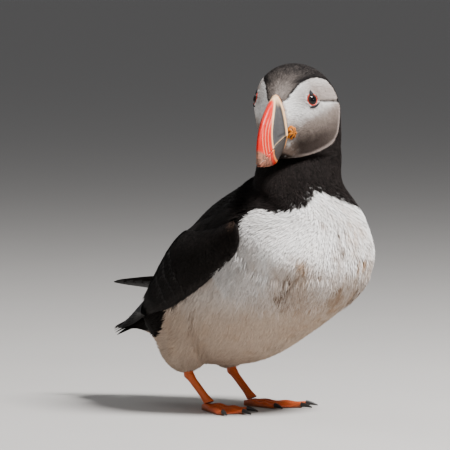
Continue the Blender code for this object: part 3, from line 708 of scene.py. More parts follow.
def fans(name, at, u, v, steps, lie, colour, finish, slot, unwrap, length, width, blades=7, stations=4,
         spread=24.0, depth=2.0, low=0.05, high=0.95, roll=14.0, ragged=0.16, seed=0, tip=1.0, vary=0.045,
         swirl=0.0, limit=9.0):
    """Tufts of thin barbs.

    Each barb leaves the root of its tuft at its own angle, bends back towards the lie and ends in a point.
    Its spine is read off the surface, at a height that climbs from low to high times the plumage's depth, so
    that each tuft rests on the roots of those behind it.  colour is one colour a tuft, or a function of the
    surface read half way along each barb, so that the length of the feathers does not smear an edge in the
    markings.  limit is the most u that a tuft may span.
    """
    rng = np.random.default_rng(seed)
    n = len(u)
    normal, ahead, side, ((au, av), (su, sv)) = feather_frame(at, u, v, steps, lie, swirl)
    length, width, depth = (np.broadcast_to(np.asarray(x, float), n) for x in (length, width, depth))
    length = length * np.minimum(1, limit / (np.abs(au) * length + 1e-9))
    fan = np.linspace(-1, 1, blades)[None, :]
    angle = np.radians(spread) * (fan + rng.normal(0, 0.22, (n, blades)))
    reach = length[:, None] * (1 - 0.32 * fan ** 2) * (1 + rng.uniform(-ragged, ragged, (n, blades)))
    q = np.linspace(0, 1, stations)[None, None, :]
    bent = angle[..., None] * (1 - 0.35 * q)
    along, across = reach[..., None] * q * np.cos(bent), reach[..., None] * q * np.sin(bent)
    across = across + (fan * width[:, None] * 0.25)[..., None] * (1 - 0.3 * q)
    pu = u[:, None, None] + au[:, None, None] * along + su[:, None, None] * across
    pv = v[:, None, None] + av[:, None, None] * along + sv[:, None, None] * across
    spine = at(pu, pv)
    climb = low + (high - low) * q ** 0.85 + rng.normal(0, 0.07, (n, blades, 1)) * q
    spine = spine + normal[:, None, None] * ((climb - 1) * depth[:, None, None])[..., None]
    heading = bent[..., None]
    edge = side[:, None, None] * np.cos(heading) - ahead[:, None, None] * np.sin(heading)
    tilt = np.radians(rng.normal(0, roll, (n, blades, 1, 1)) - fan[..., None, None] * roll)
    edge = edge * np.cos(tilt) + normal[:, None, None] * np.sin(tilt)
    half = 0.5 * (width[:, None] / blades * 1.7)[..., None] * (0.75 + 0.5 * q) * (1 - 0.93 * q ** 3)
    sides = np.array([-1.0, 1.0])
    points = spine[..., None, :] + (edge * half[..., None])[..., None, :] * sides[:, None]
    faces = grid_faces(stations, 2)[None] + np.arange(n * blades)[:, None, None] * stations * 2
    # random tone per tuft and per barb; tip - 1 more towards each barb's end paints shade at the roots and
    # light at the tips
    shade = 1 + rng.normal(0, vary, (n, 1, 1)) + rng.normal(0, vary, (n, blades, 1)) + (tip - 1) * q
    if callable(colour):
        mid = stations // 2
        colour = colour(pu[..., mid], pv[..., mid])
    else:
        colour = colour[:, None]
    tint = np.repeat((colour[:, :, None] * shade[..., None])[..., None, :], 2, axis=3)
    places = patch(fan[..., None, None] + 0.1 * sides, (2 * q - 1)[..., None])
    maps = {"OFBake": unwrap[:, None, None, None] + places}
    return piece(name, points, faces.reshape(-1, 4), finish, slot, tint=np.clip(tint, 0, 1), maps=maps)


def vanes(name, at, u, v, steps, lie, colour, finish, slot, unwrap, length, width, depth, lift, tip_colour,
          rows, cols, camber, point, fringe, seed):
    """Contour feathers as cambered vanes: half width opens from the root, holds, and closes as an ellipse at
    the tip; the shaft stands a little proud, and the tip rests at lift above the surface."""
    rng = np.random.default_rng(seed)
    n = len(u)
    normal, ahead, side, ((au, av), (su, sv)) = feather_frame(at, u, v, steps, lie)
    length, width = (np.broadcast_to(size, n)[:, None, None] for size in (length, width))
    q = np.linspace(0, 1, rows)[None, :, None]
    w = np.linspace(-1, 1, cols)[None, None, :]
    closing = np.sqrt(np.clip(1 - (np.clip(q - point, 0, 1) / (1.001 - point)) ** 2.2, 0, 1))
    half = np.clip(0.5 + 1.1 * q, 0, 1) * closing
    sway = rng.normal(0, 0.06, (n, 1, 1)) * q
    jag = 1 + rng.normal(0, 0.02, (n, rows, cols)) * (np.abs(w) > 0.6)
    across = 0.5 * width * half * w * jag + length * sway * q
    along = length * (q - 0.10 * w ** 2 * q ** 2)
    pu = u[:, None, None] + au[:, None, None] * along + su[:, None, None] * across
    pv = v[:, None, None] + av[:, None, None] * along + sv[:, None, None] * across
    roll = rng.normal(0, 0.03, (n, 1, 1)) * across
    height = -0.95 * depth * (1 - q) ** 0.8 + lift * q ** 0.9
    height = height - camber * w ** 2 * half + 0.10 * np.exp(-(w / 0.2) ** 2) + roll
    points = at(pu, pv) + normal[:, None, None] * height[..., None]
    faces = grid_faces(rows, cols)[None] + np.arange(n)[:, None, None] * rows * cols
    shade = 1 + rng.normal(0, 0.05, (n, 1, 1)) + 0 * q * w
    margin = np.clip(ease(q, 0.86, 1.0) + 0.55 * ease(np.abs(w), 0.75, 1.0) * ease(q, 0.3, 0.8), 0, 1)
    tint = mix(colour[:, None, None] * shade[..., None], tip_colour, margin * fringe + 0 * shade)
    barbs = np.stack(np.broadcast_arrays(0.5 + 0.5 * w, q), -1)
    maps = {"OFBake": unwrap[:, None, None] + patch(w, 2 * q - 1),
            "vane": np.broadcast_to(barbs, (n, rows, cols, 2))}
    return piece(name, points, faces.reshape(-1, 4), finish, slot, tint=np.clip(tint, 0, 1), maps=maps)


BODY_STEPS = (0.01, 0.5)


def body_roots(spacing, start, end, seed=0):
    """Roots on the body about a spacing apart: sections by equal areas, angles by golden-angle turns."""
    t = np.linspace(start, end, 300)
    ring = outline(t[:, None], np.arange(0, 361, 12.0)[None, :])
    girth = np.linalg.norm(np.diff(ring, axis=1), axis=2).sum(axis=1)
    middle = ring[:, :-1].mean(axis=1)
    stride = np.concatenate([[0], np.linalg.norm(np.diff(middle, axis=0), axis=1)])
    area = np.cumsum(girth * stride)
    n = int(area[-1] / spacing ** 2)
    order = np.arange(n)
    rng = np.random.default_rng(seed)
    at = np.interp((order + 0.5) / n * area[-1], area, t)
    phi = (order * GOLDEN_TURN) % 360 - 180 + rng.normal(0, 0.25, n) * spacing
    return at, phi


def body_unwrap(t, phi):
    """Place of a root on the skin's own unwrap: angle across and section up."""
    return on_map(((np.asarray(phi) + 180) % 360) / 360, (np.asarray(t) + 0.6) / (T_END + 1.2))


def grow_body(name, keep, spacing, span, finish, slot, length, width, seed, comb=6.0, **more):
    """Fans over the part of the body between two sections that keep(t, phi, points) picks.

    comb is how many degrees the lie swings to and fro over a centimetre, so that tufts gather in locks.
    """
    t, phi = body_roots(spacing, *span, seed)
    points = outline(t, phi)
    chosen = keep(t, phi, points)
    t, phi, points = t[chosen], phi[chosen], points[chosen]
    length = length(t, phi) if callable(length) else length
    swirl = np.radians(comb) * (noise(points, 7.0, 61) + 0.7 * noise(points, 2.6, 62))
    rise = 1 + 0.16 * noise(points, 3.4, 63)
    limit = 0.28 if span[0] > 5 else 9.0
    return fans(name, outline, t, phi, BODY_STEPS, feather_lie(t, phi), markings, finish, slot,
                body_unwrap(t, phi), length, width, depth=coat_depth(t, phi) * rise, seed=seed, swirl=swirl,
                limit=limit, **more)


def feather_lie(t, phi):
    """Feathers point back down the spine; on the sides of the breast and round the thighs they also
    hang down, and where the throat runs across the neck they follow its slope."""
    hang = ease(np.abs(phi), 62, 92) * ease(t, 5.7, 4.9) * ease(t, 2.3, 3.2)
    hang = hang + ease(np.abs(phi), 98, 120) * ease(t, 3.4, 2.5) * ease(t, 0.3, 1.2)
    axis = body_axis(np.clip(t, 0, T_END))
    slope = outline(t + 0.01, phi) - outline(t - 0.01, phi)
    ledge = ease(dot(slope, axis) / 0.02, 9, 4) * ease(t, 7.4, 7.8) * ease(t, 12.6, 12.2)
    return mix(-axis, -unit(slope), ledge) + hang[..., None] * np.array([0.1, 0.0, -0.75])


# ---------------------------------------------------------------- skin
def make_skin(finish):
    """One skin for trunk, neck, head and thighs: the outline, let in by the plumage's depth."""
    spans = ((-0.49, 0, 10), (0, 8.5, 165), (8.5, T_END, 160))
    t = [np.linspace(start, end, count, endpoint=False) for start, end, count in spans]
    t = np.concatenate([*t, np.linspace(T_END, T_END + 0.49, 10)])[:, None]
    t, phi = np.broadcast_arrays(t, np.linspace(-180, 180, 240, endpoint=False)[None, :])
    normal, *_ = feather_frame(outline, t, phi, BODY_STEPS, np.ones(3))
    points = outline(t, phi) - normal * coat_depth(t, phi)[..., None]
    rows, cols = t.shape
    first, last = np.arange(cols)[::-1], np.arange(cols) + (rows - 1) * cols
    return piece("skin", points, grid_faces(rows, cols, joined=True), finish, "plumage_white",
                 ("trunk", "neck", "head", "thigh_left", "thigh_right"), caps=(first, last),
                 tint=markings(t, phi) * 0.8, maps={"OFBake": body_unwrap(t, phi)})


# ---------------------------------------------------------------- coat
PLUMES = 420
EYE_GAP = 3.55                            # tufts keep this far from the middle of the eye's opening


def make_head_coat(finish):
    """Face, crown and neck; tufts on the face are the smallest."""
    def inside_patch(points):
        return face_edge(*to_head(points)[::2])

    def on_face(t, phi, points):
        return (inside_patch(points) > -1.2) & (t > 8.9) & (eye_distance(*to_head(points)) > EYE_GAP)

    def on_crown(t, phi, points):
        return (inside_patch(points) <= 0.2) & (t > 8.9)

    def on_neck(t, phi, points):
        below_face = (inside_patch(points) < 0.5) | (t < 7.6) | (np.abs(phi) > 100)
        return (black_edge(t, phi, points) > -2) & (t <= 9.05) & below_face

    grow_body("coat_face", on_face, 0.85, (8.9, 13.36), finish, "plumage_face", 2.3, 1.1, 1,
              blades=4, stations=3, spread=20, roll=8)
    grow_body("coat_crown", on_crown, 0.85, (8.9, 13.36), finish, "plumage_black", 2.6, 1.0, 2,
              blades=4, stations=3, spread=16, roll=10, tip=1.2, vary=0.12)
    grow_body("coat_neck", on_neck, 1.15, (5.6, 9.05), finish, "plumage_black", 4.4, 1.6, 3,
              blades=5, stations=4, spread=16, roll=10, tip=1.25, vary=0.10)


def make_plumes(side, name, rng, finish):
    """Loose plumes that hang from the breast's fold over the flank."""
    away = np.linspace(90, 160, PLUMES) + rng.normal(0, 1.0, PLUMES)
    t = fold_line(away) + 0.04 + 0.42 * scattered(PLUMES)
    phi = side * away
    lie = -body_axis(t) + np.array([0.25, 0.0, -0.9])
    length = 13.0 + rng.normal(0, 2.6, PLUMES)
    high = 1.75 - 0.5 * ease(away, 120, 160)[:, None, None]
    fans("coat_plumes_" + name, outline, t, phi, BODY_STEPS, lie, markings(t + 0.05, phi), finish,
         "plumage_white", body_unwrap(t, phi), length, 3.6, blades=9, stations=6, spread=13,
         depth=coat_depth(t, phi), high=high, seed=9, swirl=rng.normal(0, 0.2, PLUMES), roll=12, vary=0.07)


def make_white_coat(finish):
    """Breast and belly by sides, the plumes between them, and the vent."""
    rng = np.random.default_rng(9)
    for side, name in SIDES:
        def on_side(t, phi, points, side=side):
            return (phi * side >= 0) & (black_edge(t, phi, points) <= 1.5)

        grow_body("coat_breast_" + name, on_side, 1.55, (4.35, 6.95), finish, "plumage_white",
                  lambda t, phi: 9.0 - 3.0 * ease(t, 5.6, 6.5), 3.2, 4,
                  blades=7, stations=5, spread=17, comb=9)
        grow_body("coat_belly_" + name, on_side, 1.9, (2.4, 4.45), finish, "plumage_white",
                  11.0, 4.0, 5, blades=8, stations=5, spread=18, comb=9)
        make_plumes(side, name, rng, finish)
    grow_body("coat_vent", lambda t, phi, p: black_edge(t, phi, p) <= 1.5, 1.8, (-0.4, 2.5), finish,
              "plumage_white", 8.5, 3.4, 6, blades=7, stations=4, spread=18, comb=8)


def make_shoulder(side, name, rng, finish):
    """Longer feathers over the shoulder, in a grid of roots along the wing's upper edge, which they cover."""
    u, w = np.meshgrid(np.linspace(0, 1, 44), np.linspace(0, 1, 12), indexing="ij")
    u, w = u.ravel() + rng.normal(0, 0.012, u.size), w.ravel() + rng.normal(0, 0.03, u.size)
    t = 5.25 - 2.1 * u
    crease = np.interp(t, (3.2, 3.6, 4.14, 4.48, 4.82, 5.09, 5.3), (42, 48, 60, 66, 71, 73, 75))
    phi = side * (crease - 2 - 17 * w)
    lie = -body_axis(t) + np.array([0.0, 0.30 * side, -0.16])
    colour = mix(SOOT, SHOULDER_SHEEN, 0.7 * ease(noise(outline(t, phi), 4.0, 24), 0.1, 0.7))
    fans("coat_shoulder_" + name, outline, t, phi, BODY_STEPS, lie, colour, finish, "plumage_black",
         body_unwrap(t, phi), 12.0 - 3.5 * ease(t, 4.6, 5.3), 3.6, blades=8, stations=6, spread=5,
         depth=coat_depth(t, phi), high=1.7, roll=7, seed=22, tip=1.3, vary=0.2)


def make_dark_coat(finish):
    """Flank, tail coverts and back, and the shoulders over the back."""
    def inked(t, phi, points):
        return black_edge(t, phi, points) > -1.5

    def on_back(t, phi, points):
        return inked(t, phi, points) & (np.abs(phi) < 97) & ~((np.abs(phi) > 60) & (t < 2.6))

    grow_body("coat_flank", lambda t, phi, p: inked(t, phi, p) & (np.abs(phi) > 55), 1.6, (0.9, 3.2), finish,
              "plumage_black", 8.0, 2.6, 7, blades=7, stations=5, spread=12, tip=1.4, vary=0.12)
    # their tips are lightened most, as painted highlights along the coverts
    grow_body("coat_tail_coverts", inked, 2.2, (-0.35, 1.1), finish, "plumage_black",
              lambda t, phi: 15.0 - 4.0 * ease(t, 0.4, 1.1), 4.2, 8,
              blades=8, stations=6, spread=9, tip=1.8, vary=0.25, high=1.3)
    grow_body("coat_back", on_back, 2.0, (0.1, 5.75), finish, "plumage_black",
              lambda t, phi: 9.0 - 3.5 * ease(t, 4.6, 5.6), 3.0, 21,
              blades=7, stations=4, spread=9, tip=1.3, vary=0.14, comb=5)
    rng = np.random.default_rng(22)
    for side, name in SIDES:
        make_shoulder(side, name, rng, finish)


# ---------------------------------------------------------------- wings
WING_FRONT, WING_REAR = 5.00, 1.80        # the sections of the body at its ends
WING_WRIST, WING_TOP, WING_LOW = 78.0, 20.0, 95.8     # angles of the wrist and of its two edges
WING_RISE, WING_ROUND = 0.72, 0.16        # shares of its length where its top rises and its wrist rounds
WING_EDGE, WING_BULGE, WING_WRIST_BULGE = 0.7, 2.4, 2.2    # thickness at the edge, and more inside it
GAP, WING_LIFT = 0.3, 0.9                 # its gap from the body, and how much that grows to the rear
WING_TUFTS = 3200


def body_normal(t, phi):
    """Outward normal of the plain ovals, without relief or thighs."""
    along = body_point(np.asarray(t) + 0.01, phi) - body_point(np.asarray(t) - 0.01, phi)
    around = body_point(t, np.asarray(phi) + 0.5) - body_point(t, np.asarray(phi) - 0.5)
    return unit(np.cross(along, around))


def wing_surface(side, s, v, share=1.0):
    """A folded wing over the body, s from wrist (0) to rear (1), v from upper (0) to leading edge (1).

    Its width opens as a quarter ellipse behind the wrist.  Its thickness is a sine hump across and along it,
    and share says how far through the thickness the surface is, from the inside (0) to the outside (1).
    """
    s, v = np.broadcast_arrays(np.asarray(s, float), np.asarray(v, float))
    c, w = np.clip(s, 0, 1), np.clip(v, 0, 1)
    opening = np.sqrt(np.clip(1 - (1 - np.clip(c / WING_ROUND, 0, 1)) ** 2, 0.02, 1))
    closing = 1 - 0.35 * np.clip((c - 0.72) / 0.28, 0, 1) ** 2
    rise = ease(c, 0, WING_RISE)
    top = WING_WRIST + (WING_TOP - WING_WRIST) * opening * (0.10 + 0.90 * rise)
    low = WING_WRIST + (WING_LOW - WING_WRIST) * opening * closing
    phi = side * (top + (low - top) * v)
    t = WING_FRONT + (WING_REAR - WING_FRONT) * s + 0.35 * (v - 0.5) * s
    hump = np.sin(np.pi * w) ** 0.6 * np.sin(np.pi * (0.12 + 0.80 * c)) ** 0.7
    wrist = WING_WRIST_BULGE * hill(s, 0.13, 0.12) * np.sin(np.pi * w) ** 0.7
    away = GAP + WING_LIFT * np.clip((s - 0.62) / 0.38, 0, 1.4) ** 2
    thick = WING_EDGE + WING_BULGE * hump + wrist
    return body_point(t, phi) + body_normal(t, phi) * (away + thick * share)[..., None]


def slab_piece(name, outer, inner, finish, slot, replaces, **more):
    """A closed slab between two grids of points, its rim joined."""
    rows, cols = outer.shape[:2]
    at = np.arange(rows * cols).reshape(rows, cols)
    rim = np.concatenate([at[0, :-1], at[:-1, -1], at[-1, :0:-1], at[:0:-1, 0]])
    after = np.roll(rim, -1)
    count = rows * cols
    faces = np.concatenate([grid_faces(rows, cols), grid_faces(rows, cols)[:, ::-1] + count,
                            np.stack([rim, after, after + count, rim + count], axis=-1)])
    points = np.concatenate([outer.reshape(-1, 3), inner.reshape(-1, 3)])
    return piece(name, points, faces, finish, slot, replaces, **more)


def wing_roots(side, s, v):
    """Roots on a wing as fans() and vanes() take them: the surface, its parameters, steps and the lie.

    On the right wing the second parameter runs the other way, so that the surface still faces outward.
    """
    def at(u, w):
        return wing_surface(side, u, w if side > 0 else 1 - w)

    flow = wing_surface(side, s + 0.02, v) - wing_surface(side, s - 0.02, v)
    return at, s, v if side > 0 else 1 - v, (0.01, 0.02), unit(flow)


def make_wing_body(side, name, finish):
    """The wing under its feathers: a closed slab from the body's side to 0.72 of the wing's thickness."""
    s, v = np.linspace(0, 1, 60)[:, None], np.linspace(0, 1, 30)[None, :]
    outer, inner = wing_surface(side, s, v, 0.72), wing_surface(side, s, v, 0.0)
    if side < 0:
        outer, inner = outer[:, ::-1], inner[:, ::-1]
    slab_piece("wing_body_" + name, inner, outer, finish, "plumage_black", ("wing_" + name,),
               tint=np.broadcast_to(BLACK, (2 * outer.size // 3, 3)))


def make_coverts(side, name, rng, finish):
    """Three rows of vanes over the rear of the wing, longer to the rear and shorter at its lower edge."""
    s = np.repeat((0.56, 0.66, 0.77), (17, 17, 16))
    v = [np.linspace(*ends) for ends in ((0.03, 0.97, 17), (0.06, 0.96, 17), (0.04, 0.95, 16))]
    s, v = s + rng.normal(0, 0.006, s.size), np.concatenate(v)
    length = np.interp(s, (0.5, 0.66, 0.8), (13.0, 17.0, 21.0))
    length = length * np.interp(v, (0, 0.75, 1.0), (1.0, 0.92, 0.7))
    vanes("coat_wing_" + name, *wing_roots(side, s, v), mix(BLACK, COLLAR, 0.1 + 0 * s), finish,
          "plumage_black", on_map(s, v), length, 5.6, 0.9, 0.3, COVERT_EDGE,
          rows=14, cols=7, camber=0.2, point=0.62, fringe=0.2, seed=31)


def make_wing_barbs(side, name, rng, finish):
    """Barbs over the whole wing, short at the wrist, with a painted brown sheen on top and a painted
    highlight there.
    """
    n = WING_TUFTS
    s = 0.005 + 0.95 * ((np.arange(n) + 0.5) / n) + rng.normal(0, 0.012, n)
    v = np.clip(scattered(n) * 0.97 + 0.015 + rng.normal(0, 0.02, n), 0.01, 0.99)
    # painted sheen: lighter on top of the wing towards the wrist and along its leading edge
    top = ease(s, 0.9, 0.3) * ease(v, 0.65, 0.15) + 0.5 * ease(v, 0.90, 0.97)
    streaky = np.clip(0.7 + rng.normal(0, 0.3, n), 0, 1.5)
    colour = mix(SOOT, WING_SHEEN, np.clip(top * streaky, 0, 1))
    # a painted highlight on the upper edge at the wrist
    wrist_highlight = hill(s, 0.015, 0.022) * ease(v, 0.75, 0.35)
    colour = mix(colour, WRIST_HIGHLIGHT, np.clip(0.8 * wrist_highlight * streaky, 0, 1))
    fans("coat_wing_barbs_" + name, *wing_roots(side, s, v), colour, finish, "plumage_black", on_map(s, v),
         4.5 + 7.5 * ease(s, 0.0, 0.5), 1.8, blades=7, stations=4, spread=9, depth=0.9, low=0.1, high=1.05,
         roll=4, seed=32, tip=1.25, vary=0.18, ragged=0.42)


# ---------------------------------------------------------------- primaries and tail
# Root, middle and tip of each wing's longest primary, its widths there, and the directions across it.
PRIMARIES = {
    "right": (((-72.0, -25.5, 59.5), (-88.5, -16.6, 53.2), (-107.4, -8.4, 47.2)), (20.0, 12.5, 5.5),
              ((0.49, -0.75, -0.43), (0.20, -0.75, -0.60), (0.1, -0.85, -0.5))),
    "left": (((-72.0, 26.4, 66.4), (-93.0, 14.0, 69.9), (-118.9, -1.0, 71.0)), (34.0, 20.0, 5.5),
             ((0.49, 0.75, -0.43), (0.20, 0.78, -0.60), (0.0, 0.86, -0.50))),
}
PRIMARY_COUNT = 6


def quill(path, widths, across, thick, shift=(0.0, 0.0), rings=22, sides=12):
    """Rings of one long flight feather: flat ovals with a raised shaft along a quadratic curve.

    path, widths and across give its root, middle and tip.  shift moves the tip across and all of it up.
    """
    u = np.linspace(0.0, 1.0, rings)[:, None]
    a, b, c = (np.array(p) for p in path)
    bend = 2 * b - 0.5 * (a + c)
    centre = (1 - u) ** 2 * a + 2 * u * (1 - u) * bend + u ** 2 * c
    along = unit(np.gradient(centre, axis=0))
    flat = unit(through(np.array(across), 2 * u[:, 0]))
    up = unit(np.cross(along, flat))
    width = through(np.array(widths, float)[:, None], 2 * u[:, 0])
    width = width * np.sqrt(np.clip(1 - np.clip((u - 0.86) / 0.145, 0, 1) ** 2, 0.0, 1))
    angle = 2 * np.pi * (np.arange(sides) + 0.5) / sides
    w = 0.5 * width[:, :, None] * np.cos(angle)[None, :, None]
    shaft = 0.25 * np.exp(-(np.cos(angle) / 0.18) ** 2) * np.sign(np.sin(angle))
    h = (0.5 * thick * np.sin(angle) + shaft)[None, :, None] * (1.1 - 0.5 * u[:, :, None]) - 0.02 * w * w / 4
    centre = centre + flat * shift[0] * u + up * shift[1]
    return centre[:, None, :] + flat[:, None, :] * w + up[:, None, :] * h


def quill_map(rings, sides):
    """Barb coordinates round one flight feather: across it and along it."""
    u = np.linspace(0, 1, rings)[:, None] + np.zeros((1, sides))
    x = 0.5 + 0.5 * np.cos(2 * np.pi * (np.arange(sides) + 0.5) / sides)[None, :] + 0 * u
    return np.stack([x, u], -1).reshape(-1, 2)


def make_quills(name, parts, finish, replaces):
    """One piece of several flight feathers, browner towards their tips."""
    points, faces, caps = join_rings(parts)
    vane = np.concatenate([quill_map(*part.shape[:2]) for part in parts])
    tint = mix(SOOT, TIP_BROWN, 0.1 * ease(vane[:, 1], 0.93, 1.0))
    piece(name, points, faces, finish, "plumage_black", replaces, caps=caps, tint=tint, maps={"vane": vane})


def make_primaries(name, finish):
    """Primaries stacked past the rump: each next one is shorter on the same curve, and lies further in."""
    path, widths, across = PRIMARIES[name]
    start, middle, end = (np.array(p) for p in path)

    def on_curve(u):
        return start + (end - start) * u + (middle - 0.5 * (start + end)) * 4 * u * (1 - u)

    parts = []
    for i in range(PRIMARY_COUNT):
        back = 1 - 0.105 * i
        wide = (widths[0] * 0.8, widths[1] * (0.86 - 0.03 * i), widths[2])
        parts.append(quill((start, on_curve(0.5 * back), on_curve(back)), wide, across, 0.55,
                           (1.8 - 1.3 * i, 0.55 * i - 1.6)))
    make_quills("primaries_vanes_" + name, parts, finish, ("primaries_" + name,))


TAIL_ROOT = (-89.1, 0.0, 56.4)
TAIL_LENGTH, TAIL_PITCH, TAIL_ARCH = 24.4, 24.5, 9.5
TAIL_HALF_ROOT, TAIL_HALF_SPREAD, TAIL_GRADED = 6.0, 6.5, 0.5
TAIL_FEATHERS, TAIL_WIDTHS = 14, (4.6, 7.8, 8.6)


def make_tail(finish):
    """Tail feathers over a rounded fan, the side ones shorter and lower, the middle pair on top."""
    parts = []
    drop = math.tan(math.radians(TAIL_PITCH))
    for i in range(TAIL_FEATHERS):
        a = 0.92 * (2 * i / (TAIL_FEATHERS - 1) - 1)
        path = []
        for u in (-0.04, 0.48, 1.03):
            half = TAIL_HALF_ROOT + TAIL_HALF_SPREAD * math.sin(0.5 * math.pi * max(u, 0))
            reach = TAIL_LENGTH * u * (1 - TAIL_GRADED * abs(a) ** 2.2 * max(u, 0))
            path.append((TAIL_ROOT[0] - reach, half * a, TAIL_ROOT[2] - reach * drop - TAIL_ARCH * a * a))
        tilt = 0.5 * a
        across = ((0.0, math.cos(tilt), -math.sin(tilt)),) * 3
        shift = (0.0, 0.6 * (1 - abs(a)) - 0.3)
        parts.append(quill(path, TAIL_WIDTHS, across, 0.5, shift, rings=16))
    make_quills("tail_feathers", parts, finish, ("tail",))


# ---------------------------------------------------------------- bill
# Points are out and up in the bill frame.
BILL_PITCH, BILL_BASE = -20.0, 0.9        # the bill's tilt, and how far ahead of the head's frame it starts
CULMEN_REACH, CULMEN_DROP, CULMEN_ARCH = 38.8, 28.5, 1.88
MOUTH_CORNER = (9.4, -21.3)
MOUTH_SAG, MOUTH_GAP = 1.6, 0.48
CHIN_AT = (11.8, -32.0)
GONYS = ((13.0, -40.5), (25.0, -36.5))
LOWER_TIP = (38.0, -30.0)
BILL_HALF_WIDTH, TIP_HALF_WIDTH = 8.4, 1.1
BAND_CENTRE = (6.5, -20.8)                # the cream line runs round here, at these headings and distances
BAND_HEADINGS = (-90, -45, -30, -14, 0, 22, 44, 64, 83, 101, 115)
BAND_RADII = (17.0, 18.6, 19.2, 19.4, 18.2, 16.8, 15.7, 16.0, 17.8, 21.1, 25.0)
GROOVES = ((0.9, 2.6), (2.4, 3.7), (4.3, 3.9))    # how far past it each pale groove is, and more low down


def from_bill(out, left, up):
    """Body-frame points of places in the bill frame."""
    a = math.radians(BILL_PITCH)
    ahead = out * math.cos(a) - up * math.sin(a)
    level = out * math.sin(a) + up * math.cos(a)
    return from_head(ahead + BILL_BASE, left, level)


def culmen(q):
    """The upper ridge, from its root (q 0) to the tip (1): a superellipse arch."""
    out = CULMEN_REACH * np.sin(0.5 * np.pi * q)
    rest = np.clip(1 - (out / CULMEN_REACH) ** CULMEN_ARCH, 0, 1) ** (1 / CULMEN_ARCH)
    return np.stack([out, CULMEN_DROP * (rest - 1)], axis=-1)


def mouth_line(q, tip):
    """The line where the halves meet, from the mouth's corner to the tip, sagging as a sine."""
    start, end = np.array(MOUTH_CORNER), np.array(tip)
    sag = np.stack([0 * q, MOUTH_SAG * np.sin(np.pi * q)], axis=-1)
    return start + (end - start) * q[..., None] + sag


def gonys(q):
    """The lower edge, a cubic curve from the chin to the lower tip."""
    points = [np.array(p) for p in (CHIN_AT, *GONYS, LOWER_TIP)]
    q = q[..., None]
    weights = ((1 - q) ** 3, 3 * q * (1 - q) ** 2, 3 * q * q * (1 - q), q ** 3)
    return sum(w * p for w, p in zip(weights, points))


SLATE = (0.066, 0.063, 0.064)
SLATE_LOW = (0.050, 0.039, 0.033)
CREAM = (0.58, 0.29, 0.115)
CREAM_PALE = (0.84, 0.56, 0.32)
RED = (0.62, 0.005, 0.0015)
ORANGE = (0.74, 0.034, 0.005)
ORANGE_PALE = (0.80, 0.26, 0.07)
GROOVE_PALE = (0.82, 0.33, 0.21)
WORN = (0.36, 0.18, 0.115)
WORN_DARK = (0.15, 0.075, 0.05)
BASE_ORANGE = (0.85, 0.33, 0.06)
NOSTRIL = (0.03, 0.028, 0.028)
BILL_MIDDLE = BAND_CENTRE[1] - BAND_CENTRE[0]     # up less out, at the middle of the cream arc


def band_place(spot):
    """How far places on the side of the bill are past the cream arc, and their heading from its centre."""
    over, above = spot[..., 0] - BAND_CENTRE[0], spot[..., 1] - BAND_CENTRE[1]
    heading = np.degrees(np.arctan2(above, over))
    reach = sum(np.interp(heading + shift, BAND_HEADINGS, BAND_RADII) for shift in (-12, -6, 0, 6, 12)) / 5
    return np.hypot(over, above) - reach, heading


def bill_relief(upper, j, q, past, spacing, from_base, rough):
    """How far the horn stands out: a sunken slate plate inside a raised arc, grooves past it, a ridge round
    the base and a thin lip along the mouth."""
    relief = -0.40 * ease(past, 0, -2.5) + 0.22 * hill(past, 0.5, 0.8)
    for high, more in GROOVES:
        relief = relief - 0.36 * hill(past, high + more * spacing, 0.5) * ease(j, 0.99, 0.85)
    rim = hill(from_base, 1.2, 1.25) if upper else hill(from_base, 0.6, 0.6)
    relief = relief + (0.95 if upper else 0.35) * rim + 0.05 * rough
    return relief + 0.20 * hill(j, 0.0, 0.03) * ease(q, 0.02, 0.1)


